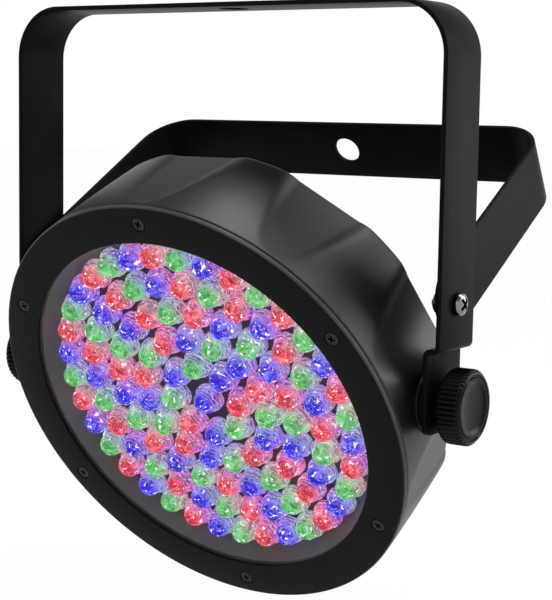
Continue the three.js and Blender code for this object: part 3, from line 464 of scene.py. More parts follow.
def turned(profile, segments):
    """A shape turned about the depth axis; each profile point is [radius, depth]."""
    touching = 1e-9
    turns = np.arange(segments) * TURN / segments
    ring = np.stack([np.cos(turns), np.zeros(segments), np.sin(turns)], 1)
    points, rows = [], []
    for radius, depth in profile:
        if radius < touching:
            rows.append([len(points)] * segments)
            points.append((0, depth, 0))
        else:
            rows.append(list(range(len(points), len(points) + segments)))
            points.extend(radius * ring + (0, depth, 0))
    hollow = profile[0][0] >= touching
    faces = []
    for low, high in zip(rows, rows[1:] + rows[:1] if hollow else rows[1:]):
        for i in range(segments):
            j = (i + 1) % segments
            faces.append(list(dict.fromkeys([low[i], low[j], high[j], high[i]])))
    return np.array(points, float), faces


def lofted(loops):
    """A closed solid through loops of points, each with as many points as the next."""
    across = len(loops[0])
    points = np.array([p for loop in loops for p in loop], float)
    faces = []
    for row in range(len(loops) - 1):
        for i in range(across):
            j = (i + 1) % across
            a, b = row * across, (row + 1) * across
            faces.append([a + i, a + j, b + j, b + i])
    faces.append(list(range(across))[::-1])
    faces.append([(len(loops) - 1) * across + i for i in range(across)])
    return points, faces


def rounded(width, height, corner, inset, steps):
    """The outline of a rectangle with round corners, drawn in by an inset."""
    sharpest = 0.05 * MM
    w, h, c = width / 2 - inset, height / 2 - inset, max(corner - inset, sharpest)
    return eased([(-w, -h, c), (w, -h, c), (w, h, c), (-w, h, c)], steps)


def plate(width, height, corner, start, end, x=0.0, z=0.0, edge=0.0):
    """A plate with round corners, from one depth to another, its outer edge eased."""
    def loop(inset, depth):
        return [(x + px, depth, z + pz) for px, pz in rounded(width, height, corner, inset, 6)]
    loops = [loop(0, start), loop(0, end - edge)]
    if edge:
        loops += [loop(edge * EDGE_MIDDLE, end - edge * EDGE_MIDDLE), loop(edge, end)]
    return lofted(loops)


def rod(radius, start, end, x=0.0, z=0.0, segments=32, edge=0.0):
    """A round rod along the depth axis, its outer end eased."""
    profile = [(0, start), (radius, start), (radius, end - edge)]
    if edge:
        profile += [(radius - edge * EDGE_MIDDLE, end - edge * EDGE_MIDDLE), (radius - edge, end)]
    else:
        profile += [(radius, end)]
    return shifted(turned(profile + [(0, end)], segments), x, z)


def shifted(shape, x, z):
    """A shape moved across and up."""
    points, faces = shape
    return points + (x, 0, z), faces


def joined(*shapes):
    """Several shapes as one."""
    points, faces = [], []
    for shape_points, shape_faces in shapes:
        faces += [[i + len(points) for i in face] for face in shape_faces]
        points += list(shape_points)
    return np.array(points, float), faces


def on_circle(radius, turn):
    """Across and up, on a circle about the depth axis; turn in radians."""
    return radius * math.cos(turn), radius * math.sin(turn)


def ring_places(radius, turns, depth):
    """Places on a circle about the depth axis, all at one depth."""
    return [(x, depth, z) for x, z in (on_circle(radius, turn) for turn in turns)]


def even(total, first=0.0):
    """Evenly spaced turns in radians, from a first one in degrees."""
    return [math.radians(first) + TURN * i / total for i in range(total)]


def bent_strip(path, thickness, width, edge, end_corner):
    """A strip bent along corners [x, z, bend], with round ends and eased edges."""
    bend_steps, end_steps, steepest = 20, 16, math.radians(88)
    stations = []
    corners = [Vector(c[:2]) for c in path]
    for i, corner in enumerate(corners):
        before = (corner - corners[i - 1]).normalized() if i else None
        after = (corners[i + 1] - corner).normalized() if i < len(corners) - 1 else None
        if before is None or after is None:
            stations.append((corner, after or before))
            continue
        turn = before.angle_signed(after) * -1
        bend = path[i][2]
        start = corner - before * bend * math.tan(abs(turn) / 2)
        side = Vector((-before.y, before.x)) * math.copysign(1, turn)
        centre = start + side * bend
        for k in range(bend_steps + 1):
            spin = Matrix.Rotation(turn * k / bend_steps, 2)
            stations.append((centre + spin @ (start - centre), spin @ before))
    # How far in from the end the strip is how wide, from the full width outwards
    ends = [(end_corner, width / 2)]
    for k in range(1, end_steps + 1):
        a = min(math.pi / 2 * k / end_steps, steepest)
        ends.append((end_corner * (1 - math.sin(a)), width / 2 - end_corner * (1 - math.cos(a))))
    start, way = stations[0]
    rows = [(start + way * s, way, half) for s, half in reversed(ends)]
    rows += [(place, way, width / 2) for place, way in stations[1:-1]]
    end, way = stations[-1]
    rows += [(end - way * s, way, half) for s, half in ends]
    loops = []
    for place, way, half in rows:
        side = Vector((-way.y, way.x))
        t, r = thickness / 2, min(edge, half * 0.9)
        outline = eased([(-t, -half, r), (t, -half, r), (t, half, r), (-t, half, r)], 3)
        loops.append([(place.x + side.x * across, along, place.y + side.y * across)
                      for across, along in outline])
    return lofted(loops)


def moved_by(shape, matrix):
    """A shape moved by a matrix."""
    points, faces = shape
    whole = np.array(matrix, float)
    return points @ whole[:3, :3].T + whole[:3, 3], faces


def raw_object(name, shape, matrix=None):
    """A mesh object with its faces pointing outwards, still without a body or a finish."""
    if matrix is not None:
        shape = moved_by(shape, matrix)
    points, faces = shape
    mesh = bpy.data.meshes.new(name)
    mesh.from_pydata([tuple(p) for p in points], [], faces)
    editable = bmesh.new()
    editable.from_mesh(mesh)
    bmesh.ops.recalc_face_normals(editable, faces=editable.faces)
    editable.to_mesh(mesh)
    editable.free()
    return linked(name, mesh)


def linked(name, data):
    """A new object in the scene with that data."""
    made = bpy.data.objects.new(name, data)
    bpy.context.scene.collection.objects.link(made)
    return made


def discard(thing):
    """Removes a helper object and its mesh."""
    mesh = thing.data
    bpy.data.objects.remove(thing)
    bpy.data.meshes.remove(mesh)


def carved(base, cutter, operation="DIFFERENCE"):
    """Cuts a shape out of an object, joins it on, or trims the object to it."""
    tool = raw_object("cutter", cutter)
    modifier = base.modifiers.new("carve", "BOOLEAN")
    modifier.operation, modifier.solver, modifier.object = operation, "EXACT", tool
    settled(base)
    discard(tool)


def finished(made, look, body, replaces=(), sharp=32):
    """Gives a piece its finish, its shading and its body in the frame."""
    made.data.materials.clear()
    made.data.materials.append(finish(look))
    made.data.polygons.foreach_set("material_index", [0] * len(made.data.polygons))
    made.data.shade_smooth()
    made.data.set_sharp_from_angle(angle=math.radians(sharp))
    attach(made, body)
    if replaces:
        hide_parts(*replaces)


def head_piece(name, shape, look, replaces):
    """A piece of the head, made straight from a shape in the head's own directions."""
    finished(raw_object(name, shape, head_matrix()), look, "lamp_head", replaces)


def on_head(made, look, replaces, sharp=32):
    """Moves a piece of the head from the head's own directions into place, and finishes it."""
    made.data.transform(head_matrix())
    finished(made, look, "lamp_head", replaces, sharp)


# Places

def settings(name):
    """One group of the sizes or colours, as they stand in the scene."""
    return getattr(bpy.context.scene, "par_light_" + name)


def head_matrix():
    """From across, depth and up on the head to the frame of the whole light."""
    head = settings("head")
    return (Matrix.Translation((0, 0, -head.drop)) @ Matrix.Rotation(head.tilt, 4, "X")
            @ Matrix.Translation((0, -head.pivot_depth, 0)))


def side_matrix(sign, rise=0.0):
    """From a shape along depth to one that points out of the left or right side."""
    return (Matrix.Translation((0, 0, rise - settings("head").drop))
            @ Matrix.Rotation(-sign * math.pi / 2, 4, "Z"))


SIDES = (("left", -1), ("right", 1))
# Turns a screw round, so that it is driven in towards the least depth
FLIP = Matrix.Rotation(math.pi, 4, "X")


# Finishes

def powder_coat(name, tone, spec):
    """Black powder coat: a fine orange peel with faint uneven gloss."""
    f = Finish(name)
    place = f.place()
    peel = f.noise(place, 1500, 3)
    cloud = f.noise(place, 45, 2)
    lighter = tuple(c * 2.2 for c in tone)
    shade = f.mix(tuple(tone), lighter, cloud.rise(0.4, 0.8) * 0.5 + peel.rise(0.55, 0.8) * 0.4)
    rough = 0.33 + cloud * 0.08 + peel * 0.08
    return f.shade(shade, Roughness=rough, Specular_IOR_Level=spec,
                   Normal=f.bump(peel, 0.00006, 0.6))


def moulded_shell(name, rough, spec, rim_highlight=False):
    """Satin moulded plastic with a fine spark texture; where asked, a painted highlight lightens its outer
    edge.
    """
    f = Finish(name)
    place = f.place()
    spark = f.noise(place, 2600, 2)
    cloud = f.noise(place, 30, 2)
    shell = tuple(settings("colours").shell)
    lighter = tuple(c * 1.9 for c in shell)
    tone = f.mix(shell, lighter, cloud.rise(0.35, 0.75) * 0.5 + spark.rise(0.6, 0.8) * 0.4)
    # Painted highlight: the tone is lightened in a thin band at the rim's outer edge
    if rim_highlight:
        across, _, up = head_axes(f)
        rim = settings("head").face_radius
        radius = (across * across + up * up) ** 0.5
        painted_highlight = radius.rise(rim - 0.9 * MM, rim - 0.2 * MM) * (0.6 + cloud.rise(0.3, 0.7) * 0.4)
        tone = f.mix(tone, (0.085, 0.086, 0.088), painted_highlight)
    # Painted light: the LEDs' glow stored on the piece is added as emission
    glow = f.vector("MULTIPLY", f.attribute("glow", "Color"), (0.5, 0.5, 0.5))
    return f.shade(tone, Roughness=rough - 0.05 + cloud * 0.07 + spark * 0.05,
                   Specular_IOR_Level=spec, Emission_Color=glow, Emission_Strength=1.0,
                   Normal=f.bump(spark, 0.00003, 0.5))


def plain_plastic(name, tone, rough, spec=0.2):
    """Moulded plastic with a little wear in its gloss."""
    f = Finish(name)
    place = f.place()
    grain = f.noise(place, 1800, 3)
    cloud = f.noise(place, 90, 3)
    lighter = tuple(min(1.0, c * 1.8) for c in tone)
    shade = f.mix(tuple(tone), lighter, cloud.rise(0.35, 0.8) * 0.6 + grain.rise(0.6, 0.85) * 0.4)
    return f.shade(shade, Roughness=rough - 0.06 + cloud * 0.12, Specular_IOR_Level=spec,
                   Normal=f.bump(grain, 0.00004, 0.5))


def metal(name, tone, rough, spread=0.12, brushed=0.0):
    """Metal with uneven gloss and, where brushed, fine lines."""
    f = Finish(name)
    place = f.place()
    cloud = f.noise(place, 220, 3)
    stretched = f.vector("MULTIPLY", place, (1.0, 1.0, 0.05))
    lines = f.noise(stretched, 5200, 2)
    darker = tuple(c * 0.6 for c in tone)
    shade = f.mix(darker, tuple(tone), cloud.rise(0.25, 0.65))
    rough = rough - spread / 2 + cloud * spread + lines * brushed
    return f.shade(shade, Metallic=1.0, Roughness=rough,
                   Normal=f.bump(lines, 0.00002, 0.25 + brushed))


def rubber():
    """Black rubber with a dusty, matt surface."""
    f = Finish("rubber")
    place = f.place()
    grain, dust = f.noise(place, 2200, 4), f.noise(place, 140, 4)
    tone = f.mix((0.006, 0.006, 0.006), (0.014, 0.014, 0.013), dust.rise(0.45, 0.8))
    return f.shade(tone, Roughness=0.78 + grain * 0.12, Specular_IOR_Level=0.1,
                   Normal=f.bump(grain, 0.00008, 0.7))


def clear_pane():
    """Clear plastic with a trace of haze and dust."""
    f = Finish("clear_window")
    place = f.place()
    haze, dust = f.noise(place, 18, 3), f.noise(place, 900, 2)
    veil = 0.012 + haze.rise(0.4, 0.8) * 0.012 + dust.rise(0.74, 0.8) * 0.02
    return f.shade((0.30, 0.30, 0.31), Roughness=0.05 + haze * 0.05, Alpha=veil,
                   Specular_IOR_Level=0.5)


def head_axes(f):
    """Across, depth and up in the head's own directions, from the tilt axis, in metres."""
    head = settings("head")
    mapping = f.add("ShaderNodeMapping", {"vector_type": "TEXTURE"},
                    [f.place(), (0, 0, -head.drop), (head.tilt, 0, 0), (1, 1, 1)])
    return f.split(mapping)


def board_face():
    """Grey face of the LED board and spacer, with painted shade between the LEDs and their glow painted on
    as light.
    """
    f = Finish("grey_board")
    across, along, up = head_axes(f)
    radius = (across * across + up * up) ** 0.5
    place = f.place()
    grain, cloud = f.noise(place, 900, 3), f.noise(place, 55, 3)
    base = tuple(settings("colours").board)
    grey = f.mix(base, tuple(c * 1.25 for c in base), cloud.rise(0.3, 0.7))
    # Painted shade: among the LEDs the grey is darkened to a deep purple, as if shaded by them and tinted by
    # their light
    field = 1 - radius.rise(77.5 * MM, 80.5 * MM)
    tone = f.mix(grey, (0.030, 0.008, 0.022), field)
    face_along = settings("face").board_depth - settings("head").pivot_depth
    in_front = 1 - along.rise(face_along + 0.2 * MM, face_along + 0.8 * MM)
    share = (0.22 - field * 0.11) * in_front
    glow = f.mix((0.0, 0.0, 0.0), f.attribute("glow", "Color"), share)
    return f.shade(tone, Roughness=0.5 + grain * 0.15, Specular_IOR_Level=0.2,
                   Emission_Color=glow, Emission_Strength=1.0, Normal=f.bump(grain, 0.00005, 0.5))


def led_lens():
    """A lit LED: a bright core in the dome's tip, over a pale streaked body tinted by the others."""
    f = Finish("lit_leds")
    own = f.attribute("lamp_colour", "Color")
    near = f.mix(f.attribute("lamp_tint", "Color"), (0.60, 0.10, 1.0), 0.25)
    seed = f.attribute("lamp_seed", "Fac")
    local = f.attribute("lamp_place")
    _, _, rise = f.split(local)
    jump = f.add("ShaderNodeCombineXYZ", None, [seed * 37, seed * 11, seed * 23])
    shifted = f.vector("ADD", local, jump)
    swirl = f.noise(shifted, 1.3, 2, 0.5, 0.6)
    fine = f.noise(shifted, 2.1, 2, 0.6, 1.1)
    glint = f.noise(f.vector("ADD", shifted, (5.0, 9.0, 3.0)), 2.8, 1, 0.5, 0.8)
    white = (1.0, 0.90, 1.0)
    # The dome: deep at its tip, paler towards its foot, with dark veins, patches of painted shade and
    # painted highlight, and painted white streaks and glints
    tip = (rise + (swirl - 0.5) * 1.3).rise(0.95, 1.6)
    deep = f.mix(own, (0.0, 0.0, 0.01), 0.12)
    pale = f.mix(f.mix(own, near, 0.40), (0.78, 0.55, 0.98), 0.12)
    lens = f.mix(pale, deep, tip)
    lens = f.mix(lens, f.mix(own, (0.01, 0.0, 0.02), 0.8), fine.rise(0.52, 0.68) * 0.7)
    # Painted shade: dark patches over the dome
    lens = f.mix(lens, f.mix(own, (0.0, 0.0, 0.02), 0.6), (1 - swirl).rise(0.50, 0.64) * 0.65)
    # Painted highlight: pale patches over the dome
    lens = f.mix(lens, f.mix(own, (0.92, 0.78, 1.0), 0.33), swirl.rise(0.54, 0.68) * 0.6)
    # Painted highlight: thin white streaks
    lens = f.mix(lens, white, fine.band(0.41, 0.035) * 0.35)
    # Painted glints: small white specks
    lens = f.mix(lens, white, glint.rise(0.64, 0.68))
    # The body below the dome: pale rings and streaks
    x, y, z = f.split(shifted)
    ringed = f.add("ShaderNodeCombineXYZ", None, [x * 0.9, y * 0.9, z * 3.0])
    bands = f.noise(ringed, 1.7, 3, 0.65, 1.8)
    murk = f.mix((0.10, 0.008, 0.13), near, 0.35)
    glow = f.mix(f.mix((0.60, 0.14, 1.0), near, 0.42), own, 0.50)
    body = f.mix(murk, glow, bands.rise(0.46, 0.62))
    body = f.mix(body, near, swirl.rise(0.50, 0.62) * 0.30)
    fan = (z * 22 + swirl * 16).math("SINE").rise(0.45, 0.95) * fine.rise(0.40, 0.54)
    body = f.mix(body, white, bands.band(0.55, 0.04) * 0.45)
    body = f.mix(body, white, fan * 0.5)
    lens = f.mix(lens, white, fan * (1 - tip) * 0.3)
    # Painted shade: the body darkens towards its foot, where the LEDs stand close together on the board
    body = f.mix(f.mix(body, (0.06, 0.012, 0.06), 0.35), body, rise.rise(-0.1, 0.25))
    tone = f.mix(body, lens, (rise + (swirl - 0.5) * 1.6).rise(0.25, 1.05))
    return f.shade(f.mix((0.0, 0.0, 0.0), tone, 0.2), Roughness=0.10 + fine * 0.12,
                   Specular_IOR_Level=0.15, Emission_Color=tone, Emission_Strength=0.93,
                   Normal=f.bump(fine, 0.0004, 0.3))


def circuit_board():
    """Green solder mask with paler copper runs."""
    f = Finish("green_board")
    place = f.place()
    runs = f.add("ShaderNodeTexVoronoi", {"feature": "DISTANCE_TO_EDGE", "distance": "MANHATTAN"},
                 {"Vector": place, "Scale": 220.0})
    grain = f.noise(place, 1200, 2)
    green = tuple(settings("colours").circuit)
    tone = f.mix(tuple(c * 1.8 for c in green), green, runs.rise(0.02, 0.08))
    return f.shade(tone, Roughness=0.35 + grain * 0.15, Normal=f.bump(grain, 0.00004, 0.4))


def tinted_display():
    """Dark red display window with a faint inner grid."""
    f = Finish("display_red")
    place = f.place()
    cloud, dust = f.noise(place, 120, 2), f.noise(place, 1500, 2)
    tone = f.mix((0.012, 0.002, 0.003), (0.035, 0.004, 0.006), cloud.rise(0.3, 0.8))
    return f.shade(tone, Roughness=0.06 + dust.rise(0.55, 0.8) * 0.2, Coat_Weight=0.6)


def nylon():
    """Natural nylon, slightly uneven."""
    f = Finish("nylon")
    place = f.place()
    grain, cloud = f.noise(place, 1600, 3), f.noise(place, 160, 3)
    tone = f.mix((0.56, 0.54, 0.48), (0.70, 0.68, 0.62), cloud.rise(0.3, 0.7))
    return f.shade(tone, Roughness=0.45 + grain * 0.15, Normal=f.bump(grain, 0.00005, 0.5))


FINISHES = {}


def finish(name):
    """The material of that name, made when it is first asked for."""
    if name not in FINISHES:
        colours = settings("colours")
        makers = {
            "black_paint": lambda: powder_coat("black_paint", colours.paint, 0.03),
            "black_cover": lambda: powder_coat("black_cover", (0.010, 0.010, 0.010), 0.22),
            "black_shell": lambda: moulded_shell("black_shell", 0.40, 0.36),
            "black_bezel": lambda: moulded_shell("black_bezel", 0.36, 0.06, True),
            "black_knob": lambda: plain_plastic("black_knob", colours.knob, 0.21, 0.07),
            "black_socket": lambda: plain_plastic("black_socket", colours.socket, 0.42, 0.25),
            "chrome": lambda: metal("chrome", (0.24, 0.225, 0.205), 0.11, 0.10),
            "black_steel": lambda: metal("black_steel", (0.035, 0.035, 0.037), 0.36, 0.15),
            "zinc": lambda: metal("zinc", (0.62, 0.63, 0.66), 0.30, 0.16, 0.05),
            "nickel": lambda: metal("nickel", (0.60, 0.59, 0.57), 0.30, 0.12, 0.08),
            "brass": lambda: metal("brass", (0.70, 0.52, 0.24), 0.30, 0.12, 0.04),
            "rubber": rubber,
            "nylon": nylon,
            "clear_window": clear_pane,
            "grey_board": board_face,
            "lit_leds": led_lens,
            "green_board": circuit_board,
            "display_red": tinted_display,
        }
        FINISHES[name] = makers[name]()
    return FINISHES[name]


# Geometry Nodes trees

def polar(recipe):
    """The angle round the depth axis, the radius and the outward direction at each point."""
    place = recipe.add("GeometryNodeInputPosition")
    x, _, z = recipe.split(place)
    radius = (x * x + z * z) ** 0.5
    turn = z.math("ARCTAN2", x)
    outward = recipe.add("ShaderNodeCombineXYZ", None, [x / radius, 0.0, z / radius])
    return turn, radius, outward


def named_value(recipe, name):
    """The number that each point stores under that name."""
    return recipe.add("GeometryNodeInputNamedAttribute", {"data_type": "FLOAT"}, {"Name": name})


def facet_tree():
    """Presses flats with soft bevelled edges into a round side wall."""
    recipe = Recipe("Pressed facets", {
        "Facets": "Int", "Flat half angle": "Float", "Bevel half angle": "Float",
        "Flat cut": "Float", "Bevel cut": "Float", "Bevel curve": "Float", "Taper": "Float"})
    given = recipe.inputs
    turn, radius, outward = polar(recipe)
    share = named_value(recipe, "facet_share")
    along = named_value(recipe, "facet_along")
    pitch = TURN / given["Facets"]
    # How far each point is from the middle of its nearest flat, in radians
    phase = (turn - math.pi / 2 + 4 * TURN) / pitch + 0.5
    off = abs(phase.math("FRACT") - 0.5) * pitch
    grown_by = along ** given["Taper"]
    flat = given["Flat half angle"] * grown_by
    bevel = given["Bevel half angle"] * grown_by
    scale = grown_by * grown_by
    plane = radius - given["Flat cut"] * scale
    on_flat = radius - plane / off.math("COSINE")
    fall = ((off - flat) / (bevel - flat).math("MAXIMUM", 0.0001)).math("MAXIMUM", 0.0)
    on_bevel = given["Bevel cut"] * scale * (1 - fall).math("MAXIMUM", 0.0) ** given["Bevel curve"]
    inside = flat.math("GREATER_THAN", off)
    cut = (on_flat * inside + on_bevel * (1 - inside)).math("MAXIMUM", 0.0) * share
    return recipe.finish(recipe.sunk(outward, cut))


def flute_tree():
    """Cuts flutes into a knob's rim, with round ridges between sharp valleys."""
    recipe = Recipe("Cut flutes", {"Flutes": "Int", "Depth": "Float"})
    given = recipe.inputs
    turn, _, outward = polar(recipe)
    wave = abs((turn * given["Flutes"] * 0.5).math("COSINE")) ** 1.5
    cut = (1 - wave) * given["Depth"] * named_value(recipe, "flute_share")
    return recipe.finish(recipe.sunk(outward, cut))


def repeat_tree():
    """Sets a shape on every point, spun about the depth axis, and moves the whole into place."""
    recipe = Recipe("Repeated shape", {
        "Shape": "Object", "Size": "Float", "Place": "Vector", "Turn": "Rotation"})
    given = recipe.inputs
    shape = recipe.add("GeometryNodeObjectInfo", {"transform_space": "ORIGINAL"},
                       {"Object": given["Shape"]}, "Geometry")
    spin = recipe.add("ShaderNodeCombineXYZ", None, [0.0, named_value(recipe, "spin"), 0.0])
    turn = recipe.add("FunctionNodeEulerToRotation", None, [spin])
    copies = recipe.add("GeometryNodeInstanceOnPoints", None, {
        "Points": given["Geometry"], "Instance": shape, "Rotation": turn, "Scale": given["Size"]})
    moved = recipe.add("GeometryNodeTransform", None, {
        "Geometry": copies, "Translation": given["Place"], "Rotation": given["Turn"]})
    return recipe.finish(moved)


TREES = {}


def tree(name):
    """The Geometry Nodes tree of that name, made when it is first asked for."""
    makers = {"facets": facet_tree, "flutes": flute_tree, "repeat": repeat_tree}
    if name not in TREES:
        TREES[name] = makers[name]()
    return TREES[name]


def stored(mesh, name, values, kind="FLOAT", field="value"):
    """Stores one number, vector or colour on each point of a mesh."""
    attribute = mesh.attributes.new(name, kind, "POINT")
    attribute.data.foreach_set(field, np.asarray(values, np.float32).ravel())


def stored_colours(mesh, name, colours):
    """Stores one colour on each point of a mesh."""
    stored(mesh, name, np.c_[colours, np.ones(len(colours))], "FLOAT_COLOR", "color")


def repeated(name, pattern, places, turns, look, colours=None, numbers=None):
    """One object made of copies of a pattern at places on the head, through a tree.

    Each copy also carries its own colours and numbers, given as names with their values.
    """
    mesh = bpy.data.meshes.new(name)
    mesh.from_pydata([tuple(p) for p in places], [], [])
    stored(mesh, "spin", turns)
    for label, values in (colours or {}).items():
        stored_colours(mesh, label, values)
    for label, values in (numbers or {}).items():
        stored(mesh, label, values)
    made = linked(name, mesh)
    place, turn, _ = head_matrix().decompose()
    grown(made, tree("repeat"), {
        "Shape": pattern, "Size": 1.0, "Place": list(place), "Turn": list(turn.to_euler())}, look)
    discard(pattern)
    return made


# Screws

def cross_recess(reach, width, depth, top):
    """Both bars of a tapered cross, sunk from top along the depth axis towards greater depth."""
    def bar(long_side, short_side):
        loops = []
        # How deep, and how much wider or narrower than at top
        for share, grow in ((-0.3, 1.03), (1.0, 0.72)):
            w, h = long_side * grow, short_side * grow
            y = top + depth * share
            loops.append([(-w, y, -h), (w, y, -h), (w, y, h), (-w, y, h)])
        return lofted(loops)
    # A little smaller, so that the bars share no face
    second = 0.999
    return bar(reach, width), bar(width * second, reach * second)


def screw_pattern(name, profile, recess, segments=40):
    """A screw with a cross recess, its outer end at the least depth."""
    made = raw_object(name, turned(profile, segments))
    for bar in cross_recess(**recess):
        carved(made, bar)
    made.data.shade_smooth()
    return made


def pan_profile(head, height, shank, length):
    """Pan head above its seat at zero depth, with the shank below."""
    dome = [(head * math.sin(t), -height * (0.42 + 0.58 * math.cos(t)))
            for t in np.linspace(0, math.pi / 2, 9)[1:]]
    return ([(0, -height)] + dome + [(head, -height * 0.08), (head - 0.15 * MM, 0),
            (shank, 0), (shank, length - shank * 0.4), (shank * 0.6, length), (0, length)])


def rear_screws(name, places, turns, look, profile, recess, segments=40):
    """Pan-head screws driven in from behind, at places on the head."""
    pattern = screw_pattern(name + "_pattern", profile, recess, segments)
    pattern.data.transform(FLIP)
    return repeated(name, pattern, places, turns, look)


def spins(total, first, step):
    """Turns in radians for like pieces, each a step on from the last."""
    return [first + step * i for i in range(total)]


# Operators

class RearHousing(bpy.types.Operator):
    """Builds the moulded housing with its pressed facets, posts and side bosses."""

    bl_idname = "par_light.rear_housing"
    bl_label = "Rear housing"

    columns = 480
    lip = 0.5 * MM
    tab_width, tab_thickness, tab_reach, tab_corner = 6 * MM, 4 * MM, 3 * MM, 1 * MM
    board_post, cover_post, cover_post_length = 3 * MM, 3.6 * MM, 6 * MM
    stud_hole, clearance = 6.8 * MM, 0.2 * MM
    boss_edge, sleeve_radius, sleeve_length = 0.15 * MM, 9 * MM, 18 * MM

    def execute(self, context):
        head, knobs = settings("head"), settings("knobs")
        front = head.bezel_thickness + head.seat_gap
        edge, inside = head.depth - head.back_fillet, head.depth - head.back_wall
        rows = self.section(front, inside)
        along = [max(0.0, (min(depth, edge) - head.facet_start) / (edge - head.facet_start))
                 for _, depth, _ in rows]
        shell = raw_object("rear_housing", turned([row[:2] for row in rows], self.columns))
        stored(shell.data, "facet_share", np.repeat([row[2] for row in rows], self.columns))
        stored(shell.data, "facet_along", np.repeat(along, self.columns))
        grown(shell, tree("facets"), {
            "Facets": head.facets, "Flat half angle": head.facet_half,
            "Bevel half angle": head.bevel_half, "Flat cut": head.facet_cut,
            "Bevel cut": head.bevel_cut, "Bevel curve": head.bevel_curve,
            "Taper": head.facet_taper}, "black_shell")
        extras = self.posts(front, inside)
        boss_face = head.face_radius + knobs.boss_proud
        wall = self.body(head.pivot_depth) - head.wall + FUSED
        deep = Matrix.Translation((0, head.pivot_depth, 0))
        for _, sign in SIDES:
            out = deep @ Matrix.Rotation(-sign * math.pi / 2, 4, "Z")
            extras += [moved_by(shape, out) for shape in self.boss(wall, boss_face)]
            through = rod(self.stud_hole + self.clearance, wall - 2 * head.wall,
                          boss_face + OVERRUN, segments=96)
            carved(shell, moved_by(through, out))
        extra = raw_object("housing_posts", joined(*extras))
        whole = bmesh.new()
        whole.from_mesh(shell.data)
        whole.from_mesh(extra.data)
        whole.to_mesh(shell.data)
        whole.free()
        discard(extra)
        on_head(shell, "black_shell", ["rear_housing"], sharp=38)
        return {"FINISHED"}

    @staticmethod
    def body(depth):
        """The outer radius at a depth, before the flats are pressed."""
        head = settings("head")
        share = (depth / head.depth) ** head.crown
        return head.face_radius + (head.back_radius - head.face_radius) * share

    def section(self, front, inside):
        """The wall's outline as [radius, depth, how much of a flat's cut it takes]."""
        head, lip, body = settings("head"), self.lip, self.body
        fillet, edge = head.back_fillet, head.depth - head.back_fillet
        rows = [(body(front) - lip, front, 1),
                (body(front) - lip * EDGE_MIDDLE, front + lip * EDGE_MIDDLE, 1)]
        rows += [(body(d), d, 1) for d in np.linspace(front + lip, edge, 46)]
        rows += [(body(edge) - fillet * (1 - math.cos(t)), edge + fillet * math.sin(t), 1)
                 for t in np.linspace(0, math.pi / 2, 9)[1:]]
        start = rows[-1][0]
        rows += [(start + (head.opening_radius - start) * k, head.depth, 1 - k) for k in (0.2, 0.6, 1)]
        rows += [(head.opening_radius, inside, 0)]
        rows += [(body(d) - head.wall, d, 1) for d in np.linspace(inside, front, 12)]
        return rows

    def posts(self, front, inside):
        """The bezel's screw tabs, and the posts of the LED board and the rear cover."""
        head, face, panel = settings("head"), settings("face"), settings("panel")
        shapes = []
        for turn in even(head.screw_count, 90):
            inner, outer = head.screw_circle - self.tab_reach, self.body(front) - head.wall + FUSED
            tab = plate(outer - inner, self.tab_width, self.tab_corner,
                        front, front + self.tab_thickness, (inner + outer) / 2)
            shapes.append(moved_by(tab, Matrix.Rotation(-turn, 4, "Y")))
        board_back = face.board_depth + face.board_thickness + head.seat_gap
        back = inside + FUSED
        for turn in POST_TURNS:
            x, z = on_circle(face.post_circle, math.radians(turn))
            shapes.append(rod(self.board_post, board_back, back, x, z))
        for turn in even(panel.screw_count):
            x, z = on_circle(panel.screw_circle, turn)
            shapes.append(rod(self.cover_post, back - self.cover_post_length, back, x, z))
        return shapes

    def boss(self, wall, face):
        """A side boss and the sleeve behind it, both round the stud's hole, along the depth axis."""
        hole, sleeve, edge = self.stud_hole, self.sleeve_radius, self.boss_edge
        out, back = settings("knobs").boss_radius, face - self.sleeve_length
        ring = turned([(hole, wall), (out, wall), (out, face - edge), (out - edge, face), (hole, face)], 96)
        tube = turned([(hole, back), (sleeve, back), (sleeve, wall), (hole, wall)], 64)
        return [ring, tube]


